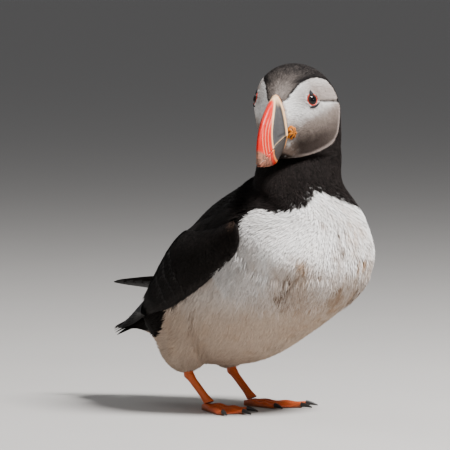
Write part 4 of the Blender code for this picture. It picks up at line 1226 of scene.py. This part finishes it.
def bill_colour(upper, spot, j, past, spacing, from_base, rough, body):
    """Slate plate, cream arc, red with pale grooves and a worn tip; on the upper half also the cream ridge of
    the base and the nostril's slit, on the lower an orange base."""
    out, up = spot[..., 0], spot[..., 1]
    fleck = 0.6 * noise(body + noise(body, 2.0, 43)[..., None], 0.55, 42) + 0.4 * noise(body, 1.3, 44)
    slate = mix(SLATE, SLATE_LOW, (0.0 if upper else 0.75) + 0.15 * rough)
    if upper:
        slate = mix(slate, CREAM_PALE, 0.5 * hill(j, 0.0, 0.03) * ease(BILL_MIDDLE + out - up, 2, 9))
    slate = slate * (1 - 0.35 * hill(from_base, 3.0, 1.0)[..., None])
    deep = ease(past, 0.4, 2.6) * 0.65 + 0.35 * ease(j, 0.3, 0.9) + 0.12 * rough
    red = mix(ORANGE, RED, np.clip(deep, 0, 1))
    for high, more in GROOVES:
        line = hill(past, high + more * spacing, 0.17 + 0.12 * spacing)
        red = mix(red, GROOVE_PALE, 0.85 * line * ease(spacing, 0.05, 0.5) * ease(j, 1.0, 0.85))
    worn = ease(out - up, 56.0, 59.0) * (1 if upper else 0.9)
    red = mix(red, mix(WORN, WORN_DARK, np.clip(0.5 + fleck, 0, 1)), np.clip(worn * (1 + 0.3 * fleck), 0, 1))
    tint = mix(slate, red, ease(past, 0.0, 0.5))
    tint = mix(tint, CREAM_PALE if upper else ORANGE_PALE, np.clip(hill(past, 0.25, 0.62) * 1.1, 0, 1))
    if not upper:
        return mix(tint, BASE_ORANGE, ease(from_base, 1.3, 0.8))
    tint = mix(tint, CREAM_PALE, 0.75 * ease(out, 9.0, 4.0) * ease(j, 0.72, 0.95))
    tint = mix(tint, CREAM, ease(from_base, 2.5, 2.0))
    tint = mix(tint, CREAM_PALE, 0.8 * hill(from_base, 1.75, 0.5))
    tint = mix(tint, ORANGE_PALE, 0.8 * ease(from_base, 1.0, 0.4))
    tint = mix(tint, SLATE_LOW, 0.35 * np.clip(fleck * 2 - 0.9, 0, 1) * ease(from_base, 2.6, 2.0))
    nostril = hill(up, -19.4 + 0.06 * (out - 14), 0.45) * ease(out, 10.5, 12.0) * ease(out, 19.5, 17.5)
    return mix(tint, NOSTRIL, 0.85 * nostril)


def make_bill_half(name, edge, ridge, round_off, finish, upper, node):
    """Half of the bill, swept from its base to the tip up the left side, over the ridge and down the right.

    edge(q) is the line along the mouth and ridge(q) the outer line; j goes from one (0) to the other (1).
    The half width falls from base to tip as a power of 1 - q and closes over the ridge as a sixth-power oval.
    Relief and colour follow two distances: from the base, and past the cream arc on the side of the bill.
    """
    rows, sides = 150, 121
    q = np.linspace(0.0, 0.994, rows)[:, None] ** 0.9
    climb = np.linspace(-1.0, 1.0, sides)[None, :]
    climb = np.sign(climb) * np.abs(climb) ** 0.85
    j = 1 - np.abs(climb) + 0 * q
    spot = edge(q + 0 * climb) * (1 - j[..., None]) + ridge(q + 0 * climb) * j[..., None]
    from_base = np.linalg.norm(spot - spot[:1], axis=-1)
    past, heading = band_place(spot)
    spacing = ease(heading, 66, 0)
    body = from_bill(spot[..., 0], 0 * j, spot[..., 1])
    rough = noise(body, 1.4, 41)
    relief = bill_relief(upper, j, q, past, spacing, from_base, rough)
    widest = TIP_HALF_WIDTH + (BILL_HALF_WIDTH - TIP_HALF_WIDTH) * (1 - q) ** 0.85
    shape = (1 - round_off * j ** 1.25) * np.sqrt(np.clip(1 - j ** 6, 0.0, 1))
    left = -np.sign(climb) * (widest * shape + relief * np.sqrt(np.clip(1 - j ** 8, 0, 1)))
    ridge_up = 0.55 * relief * ease(j, 0.8, 1.0) * (1 if upper else -1)
    points = from_bill(spot[..., 0], left, spot[..., 1] + ridge_up)
    tint = bill_colour(upper, spot, j, past, spacing, from_base, rough, body)
    rings_piece(name, points, finish, "bill_horn", (node,), tint=tint)


def make_bill(finish):
    """The upper half from culmen to mouth line, and the lower half a gape below it down to the gonys."""
    tip = culmen(np.array(1.0))

    def lower_edge(q):
        return mouth_line(q, LOWER_TIP) - np.array([0.0, MOUTH_GAP])

    make_bill_half("bill_horn_upper", lambda q: mouth_line(q, tip), culmen, 0.62, finish, True, "bill_upper")
    make_bill_half("bill_horn_lower", lower_edge, gonys, 0.45, finish, False, "bill_lower")


# ---------------------------------------------------------------- eyes and rosettes
ROSETTE_AT = (-1.3, 8.9, -22.2)
ROSETTE_SIZE = (2.6, 3.3, 4.0)            # half its depth, width and height
# the crease colour is painted shade in the rosette's folds
ROSETTE_YELLOW, ROSETTE_CREASE_SHADE = (0.44, 0.125, 0.0005), (0.020, 0.007, 0.002)
EYE_OUT = (0.54, 0.83, 0.17)              # which way the left eye looks, in the head frame
EYE_OPENING = 3.0                         # half width of the opening
PUPIL, IRIS, IRIS_RIM = (0.004, 0.004, 0.005), (0.016, 0.012, 0.011), (0.030, 0.021, 0.018)


def eye_axes(side):
    """The eye's centre, its outward direction, and the directions to the rear and up across it."""
    fore, left = heading_axes(HEAD_TURN)
    centre = from_head(EYE_AT[0], side * EYE_AT[1], EYE_AT[2])
    out = unit(EYE_OUT[0] * fore + side * EYE_OUT[1] * left + EYE_OUT[2] * UP)
    rear = unit(-fore - out * dot(-fore, out))
    up = unit(UP - out * out[2] - rear * rear[2])
    return centre, out, rear, up


def loop_tube(path, radius, out, sides=10):
    """Rings of a tube round a closed path; radius may change along it."""
    along = unit(np.roll(path, -1, axis=0) - np.roll(path, 1, axis=0))
    across = unit(np.cross(along, out))
    lift = np.cross(across, along)
    angle = 2 * np.pi * np.arange(sides) / sides
    radius = np.broadcast_to(radius, len(path))[:, None, None]
    ring = across[:, None] * np.cos(angle)[None, :, None] + lift[:, None] * np.sin(angle)[None, :, None]
    return path[:, None] + radius * ring


def closed_tube(name, rings, finish, slot):
    """A tube whose last ring joins its first."""
    count, sides = rings.shape[:2]
    faces = grid_faces(count, sides, joined=True, looped=True)
    if not wound_outward(rings.reshape(-1, 3), faces, rings.mean(axis=1)[faces[:, 0] // sides]):
        faces = faces[:, ::-1]
    return piece(name, rings, faces, finish, slot)


def horn_pad(name, spine, half_width, height, out, finish):
    """A cushion of horn: an oval round each station of its spine, ends drawn to points."""
    across = unit(np.cross(out, unit(np.gradient(spine, axis=0))))
    angle = 2 * np.pi * np.arange(16) / 16
    rings = (spine[:, None] + across[:, None] * (half_width[:, None] * np.cos(angle))[..., None]
             + out * (height[:, None] * np.sin(angle))[..., None])
    return rings_piece(name, rings, finish, "bill_horn")


def ellipsoid(axes, sizes, rows, cols):
    """Offsets from an ellipsoid's centre on a grid of latitude from its first axis and longitude round it.

    Returns the offsets, the latitudes and the longitudes.
    """
    lat = np.linspace(0.02, np.pi - 0.02, rows)[:, None]
    lon = np.linspace(0, 2 * np.pi, cols, endpoint=False)[None, :]
    shares = (np.cos(lat) + 0 * lon, np.sin(lat) * np.cos(lon), np.sin(lat) * np.sin(lon))
    offsets = sum((size * share)[..., None] * axis for axis, size, share in zip(axes, sizes, shares))
    return offsets, lat, lon


def make_eyeball(side, name, finish):
    """A wet ball looking out along its first axis: black pupil, dark brown iris."""
    centre, *axes = eye_axes(side)
    offsets, lat, lon = ellipsoid(axes, (EYE_RADIUS,) * 3, 48, 64)
    from_middle = np.sin(lat) * EYE_RADIUS + 0 * lon
    iris = mix(IRIS, IRIS_RIM, ease(from_middle, 1.9, 2.9))
    tint = mix(PUPIL, iris, ease(from_middle, 1.75, 1.95))
    rings_piece("eyeball_" + name, centre + offsets, finish, "eye", ("eye_" + name,), tint=tint)


def make_eye_ring(side, name, finish):
    """The red skin round the opening: a thin wavy tube on a circle drawn to a point above, thicker below."""
    centre, out, rear, up = eye_axes(side)
    turn = np.linspace(0, 2 * np.pi, 96, endpoint=False)
    off = np.abs((turn - 0.5 * np.pi + np.pi) % (2 * np.pi) - np.pi)
    x = (EYE_OPENING + 0.3) * np.cos(turn)
    y = (EYE_OPENING + 0.3) * np.sin(turn) + 1.5 * np.exp(-off / 0.34)
    proud = 3.10 - 0.10 * (np.hypot(x, y) - 3.3)
    path = centre + out * proud[:, None] + rear * x[:, None] + up * y[:, None]
    thick = 0.25 + 0.03 * np.sin(9 * turn) + 0.17 * hill(turn, 5.45, 0.7) - 0.06 * np.exp(-off / 0.5)
    closed_tube("eye_ring_" + name, loop_tube(path, thick, out), finish, "bill_horn")


def make_eye_horns(side, name, finish):
    """The horny plates by the eye: a triangle that tapers upward above it and a lens-shaped bar below it."""
    centre, out, rear, up = eye_axes(side)
    u = np.linspace(0, 1, 24)

    def spine(back, rise, proud):
        return centre + rear * back[:, None] + up * rise[:, None] + out * proud[:, None]

    horn_pad("eye_plate_" + name, spine(-0.25 * u, 2.95 + 3.05 * u, 3.35 - 0.15 * u),
             1.6 * (1 - u) ** 0.75 * ease(u, -0.12, 0.15) + 0.06, 0.55 * np.sqrt(1.02 - u), out, finish)
    bow = np.sin(np.pi * u)
    horn_pad("eye_bar_" + name,
             spine(-2.4 + 7.6 * u, -3.95 - 0.55 * bow + 1.75 * u ** 2, 2.95 - 0.4 * u ** 2 + 0.15 * bow),
             0.78 * np.sin(np.pi * (0.04 + 0.93 * u ** 0.8)) ** 0.7, 0.6 + 0 * u, out, finish)


def make_rosette(side, name, finish):
    """Creased skin at the gape: an ellipsoid whose radius folds in waves round the way it faces."""
    fore, left = heading_axes(HEAD_TURN)
    out = unit(0.45 * fore + side * 0.89 * left)
    axes = out, unit(np.cross(UP, out)), UP
    offsets, lat, lon = ellipsoid(axes, ROSETTE_SIZE, 70, 96)
    folds = np.sin(4.5 * np.sin(lon) + 3.0 * lat) * 0.6 + np.sin(7 * lon + 2.2 * np.sin(2 * lat))
    radius = 1 + 0.065 * folds * np.sin(lat) ** 0.7
    points = from_head(ROSETTE_AT[0], side * ROSETTE_AT[1], ROSETTE_AT[2]) + offsets * radius[..., None]
    # painted shade in the troughs of the folds
    tint = mix(ROSETTE_YELLOW, ROSETTE_CREASE_SHADE, ease(folds, -0.36, -0.95))
    rings_piece("gape_rosette_" + name, points, finish, "rosette_skin", ("rosette_" + name,), tint=tint)


# ---------------------------------------------------------------- legs and feet
ANKLE = (-40.5, 20.0, 20.1)
TOE_BASE = (-24.5, 20.0, 5.6)
TARSUS_HALF = (3.4, 2.4)                  # half its depth and width
FOOT_TURN = 12.0                          # how far the middle toe points outward
TOES = ((-24.0, 25.0), (0.0, 34.5), (20.0, 33.0))     # inner, middle and outer: angle and length
CLAW_LENGTH = 6.0
WEB_THICK, TOE_HEIGHT, TOE_HALF = 1.0, 3.0, 1.9
WEB_HOLLOW, HEEL_LENGTH = 5.0, 5.0
# the crease colours of toes and shank are painted shade between the scutes
TOE_ORANGE, WEB_RED, FOOT_CREASE_SHADE = (0.74, 0.125, 0.014), (0.52, 0.065, 0.010), (0.25, 0.05, 0.02)
SOLE, SHANK_ORANGE, SHANK_CREASE_SHADE = (0.30, 0.10, 0.04), (0.72, 0.125, 0.014), (0.34, 0.05, 0.012)


def foot_edge(angle):
    """How far the foot reaches at an angle across it: to the claws' roots, hollowed as a sine in each web."""
    axes = np.array([a for a, _ in TOES])
    edge = np.interp(angle, axes, np.array([length for _, length in TOES]))
    for a, b in zip(axes[:-1], axes[1:]):
        edge = edge - WEB_HOLLOW * np.sin(np.pi * np.clip((angle - a) / (b - a), 0, 1)) ** 0.8
    outside = np.clip(np.abs(angle - 0.5 * (axes[0] + axes[-1])) - 0.5 * (axes[-1] - axes[0]), 0, None)
    return edge - 0.35 * outside ** 1.4


def foot_frame(side):
    """The toe base on the floor, and the directions along the middle toe and outward across the foot."""
    cos, sin = math.cos(math.radians(FOOT_TURN)), math.sin(math.radians(FOOT_TURN))
    base = np.array([TOE_BASE[0], side * TOE_BASE[1], 0.0])
    return base, np.array([cos, side * sin, 0.0]), np.array([-sin, side * cos, 0.0])


def make_foot(side, name, finish):
    """A webbed foot over a fan of angles and reaches from the heel, with a flat sole.

    Its height is a thin web plus, along each toe, a bell-shaped ridge that tapers and swells at the joints.
    """
    rows, cols = 118, 136
    q = np.linspace(0.0, 1.0, rows)[:, None]
    low, high = TOES[0][0] - 5.0, TOES[-1][0] + 5.0
    angle = (low + (high - low) * np.linspace(0, 1, cols))[None, :] + 0 * q
    reach = 1.0 + (foot_edge(angle) - 1.0) * q
    base, along, out = foot_frame(side)
    ridge, crease, web = np.zeros_like(reach), np.zeros_like(reach), np.ones_like(reach)
    for axis, length in TOES:
        off = reach * np.sin(np.radians(angle - axis))
        joints = 1 + 0.16 * np.cos(2 * np.pi * reach / (length / 3.0))
        taper = 1 - 0.45 * np.clip(reach / length, 0, 1)
        on_toe = np.exp(-(off / TOE_HALF) ** 2)
        scutes = np.abs(np.sin(np.pi * (reach + 0.25 * np.abs(off)) / 1.25)) ** 0.5
        ridge = np.maximum(ridge, TOE_HEIGHT * taper * joints * on_toe * (0.93 + 0.07 * scutes))
        crease = np.maximum(crease, on_toe * (1 - scutes))
        web = web * (1 - 0.9 * on_toe)
    heel = 0.4 + 0.6 * np.clip((reach - 1.0) / 4.0, 0, 1)
    height = WEB_THICK + heel * (ridge + 1.1 * np.exp(-(reach / 7.0) ** 2))
    ahead = reach * np.cos(np.radians(angle)) - HEEL_LENGTH * (1 - q)
    away = (reach + HEEL_LENGTH) * np.sin(np.radians(angle))
    sole = base + ahead[..., None] * along + away[..., None] * out
    net = noise(sole, 0.8, 51)
    height = height + 0.10 * web * net - 0.25 * web
    top = sole + height[..., None] * UP
    tint = mix(TOE_ORANGE, WEB_RED, np.clip(web * 0.75 + 0.25 * net, 0, 1))
    # painted shade in the creases between the toes' scutes
    tint = mix(tint, FOOT_CREASE_SHADE, np.clip(0.75 * crease, 0, 1))
    under = np.broadcast_to(SOLE, tint.shape)
    if side > 0:
        top, sole, tint = top[:, ::-1], sole[:, ::-1], tint[:, ::-1]
    slab_piece("foot_skin_" + name, sole, top, finish, "leg_skin", ("foot_" + name,),
               tint=np.concatenate([under.reshape(-1, 3), tint.reshape(-1, 3)]))


def make_shank(side, name, finish):
    """The tarsus, an oval tube from inside the thigh's feathers to the toe base, with a bell-shaped swelling
    at the ankle and at the toes and half rings of scutes in front."""
    u = np.linspace(0, 1, 90)[:, None]
    ankle, base = np.array(ANKLE), np.array(TOE_BASE) - (0, 0, 1.2)
    top = ankle + (-1.5, 0, 5.0)
    centre = np.where(u < 0.15, top + (ankle - top) * u / 0.15, ankle + (base - ankle) * (u - 0.15) / 0.85)
    centre = centre * (1, side, 1)
    angle = 2 * np.pi * np.arange(40) / 40
    front = np.cos(angle) > -0.2
    scutes = np.abs(np.sin(np.pi * u * 22)) ** 0.5 * front * 0.10
    swell = 0.86 + 0.24 * hill(u, 0.15, 0.10) + 0.22 * hill(u, 1.0, 0.14)
    ring = (np.cos(angle)[None, :, None] * np.array([1.0, 0, 0.35]) * (TARSUS_HALF[0] - 0.35)
            + np.sin(angle)[None, :, None] * np.array([0, 1.0, 0]) * (TARSUS_HALF[1] - 0.15))
    points = centre[:, None, :] + ring * (swell + scutes - 0.05)[..., None]
    # painted shade in the grooves between the scutes
    tint = mix(SHANK_ORANGE, SHANK_CREASE_SHADE, np.clip(1 - scutes / 0.075, 0, 1) * front * 0.7)
    rings_piece("shank_" + name, points, finish, "leg_skin", ("tarsus_" + name,), tint=tint)


def make_claws(side, name, finish):
    """A claw at each toe's end: an oval tube that narrows as a power of 1 - u and curves to the floor."""
    base, along, out = foot_frame(side)
    u = np.linspace(0.0, 1.0, 24)[:, None]
    radius = 1.25 * (1 - u) ** 0.7 + 0.28
    angle = 2 * np.pi * np.arange(20) / 20
    for (axis, length), toe in zip(TOES, ("inner", "middle", "outer")):
        a = math.radians(axis)
        aim = along * math.cos(a) + out * math.sin(a)
        root = base + aim * length + out * HEEL_LENGTH * math.sin(a)
        centre = root + aim * (-0.8 + (CLAW_LENGTH + 1.2) * u) + UP * (1.85 - 1.35 * u ** 1.8)
        ring = np.cross(UP, aim) * 0.85 * np.cos(angle)[:, None] + UP * np.sin(angle)[:, None]
        rings = centre[:, None, :] + radius[:, None, :] * ring[None]
        node = f"claw_{name}_{toe}"
        rings_piece("horn_" + node, rings, finish, "claw_horn", (node,))


# ---------------------------------------------------------------- studio
CAMERA_AIM = (-23.8, -6.1, 110.5)         # body frame
CAMERA_AZIMUTH, CAMERA_ELEVATION, CAMERA_DISTANCE = -50.0, 5.5, 3000.0
CAMERA_LENS, CAMERA_SENSOR = 400.0, 36.0
LAMP_AIM = (0.0, 0.0, 110.0)
# Lamps: name, azimuth, elevation, distance and size in metres, and power in watts
LAMPS = (("key", 5, 55, 1.5, 0.45, 72.0), ("fill", -100, 30, 1.8, 1.2, 3.5), ("rim", 175, 45, 1.5, 0.8, 4.0))
SKY, SKY_STRENGTH = (0.86, 0.88, 0.92, 1.0), 0.20
FLOOR_RADIUS, FLOOR_BELOW = 40.0, 0.0002  # metres


def from_above(azimuth, elevation):
    """Unit vector from the bird towards an azimuth (0 in front of it, towards -Y) and elevation."""
    a, e = math.radians(azimuth), math.radians(elevation)
    return np.array([math.sin(a) * math.cos(e), -math.cos(a) * math.cos(e), math.sin(e)])


def look(obj, at, target):
    """Put a camera or light at a place and turn it to a target, both in metres."""
    obj.location = tuple(at)
    obj.rotation_euler = (Vector(tuple(at)) - Vector(tuple(target))).to_track_quat("Z", "Y").to_euler()


def make_studio():
    """Camera, three soft lamps, an even sky and a round pale floor just under the feet."""
    camera = put("camera", bpy.data.cameras.new("camera"))
    camera.data.lens, camera.data.sensor_width = CAMERA_LENS, CAMERA_SENSOR
    camera.data.clip_end = 100.0
    towards = from_above(CAMERA_AZIMUTH, CAMERA_ELEVATION)
    look(camera, world(np.zeros(3)) + towards * CAMERA_DISTANCE * MM, world(np.array(CAMERA_AIM)))
    bpy.context.scene.camera = camera
    target = world(np.array(LAMP_AIM))
    for name, azimuth, elevation, distance, size, power in LAMPS:
        lamp = put(name, bpy.data.lights.new(name, "AREA"))
        lamp.data.shape, lamp.data.size, lamp.data.energy = "DISK", size, power
        look(lamp, target + from_above(azimuth, elevation) * distance, target)
    sky = bpy.data.worlds.new("studio")
    sky.use_nodes = True
    background = sky.node_tree.nodes["Background"].inputs
    background["Color"].default_value = SKY
    background["Strength"].default_value = SKY_STRENGTH
    bpy.context.scene.world = sky
    finish = plain_finish("studio_floor", (0.46, 0.44, 0.42), 0.7, 0.03, 12.0)
    mesh = bpy.data.meshes.new("floor")
    turn = 2 * np.pi * np.arange(96) / 96
    rim = np.stack([FLOOR_RADIUS * np.cos(turn), FLOOR_RADIUS * np.sin(turn), 0 * turn - FLOOR_BELOW], -1)
    mesh.from_pydata(rim.tolist(), [], [tuple(range(len(rim)))])
    mesh.materials.append(finish.material)
    put("floor", mesh)


def main():
    """The studio, the finishes, and every piece of the bird."""
    make_studio()
    down = soft_finish("soft_plumage", 0.72, 0.10)
    dark = soft_finish("dark_plumage", 0.50, 0.06)
    cover = vane_finish("covert_vanes", 0.50)
    quills = vane_finish("flight_feather_vanes", 0.44)
    horn = painted("bill_horn", 0.26, 0.28, 520.0, dark=0.84, stretch=(1.0, 1.0, 0.45),
                   Specular_IOR_Level=0.22, Coat_Weight=0.03, Coat_Roughness=0.25)
    skin = painted("feathered_skin", 0.8, 0.1, 700.0)
    legs = leg_finish()
    claw = plain_finish("claw_horn", (0.022, 0.019, 0.017), 0.3, 0.4, 500.0)
    ball = painted("wet_eye", 0.05, 0.1, 300.0, relief=None,
                   Specular_IOR_Level=0.14, Coat_Weight=0.08, Coat_Roughness=0.03)
    lid = plain_finish("eye_ring_skin", (0.66, 0.035, 0.005), 0.4, 0.3, 900.0)
    plate = plain_finish("eye_plate_horn", (0.014, 0.014, 0.017), 0.6, 0.35, 900.0, Specular_IOR_Level=0.2)
    rosette = painted("rosette_skin", 0.5, 0.1, 900.0, Specular_IOR_Level=0.25)
    make_skin(skin)
    make_head_coat(down)
    make_white_coat(down)
    make_dark_coat(dark)
    make_tail(quills)
    make_bill(horn)
    for side, name in SIDES:
        rng = np.random.default_rng(31)
        make_wing_body(side, name, dark)
        make_coverts(side, name, rng, cover)
        make_wing_barbs(side, name, rng, dark)
        make_primaries(name, quills)
        make_eyeball(side, name, ball)
        make_eye_ring(side, name, lid)
        make_eye_horns(side, name, plate)
        make_rosette(side, name, rosette)
        make_shank(side, name, legs)
        make_foot(side, name, legs)
        make_claws(side, name, claw)


main()
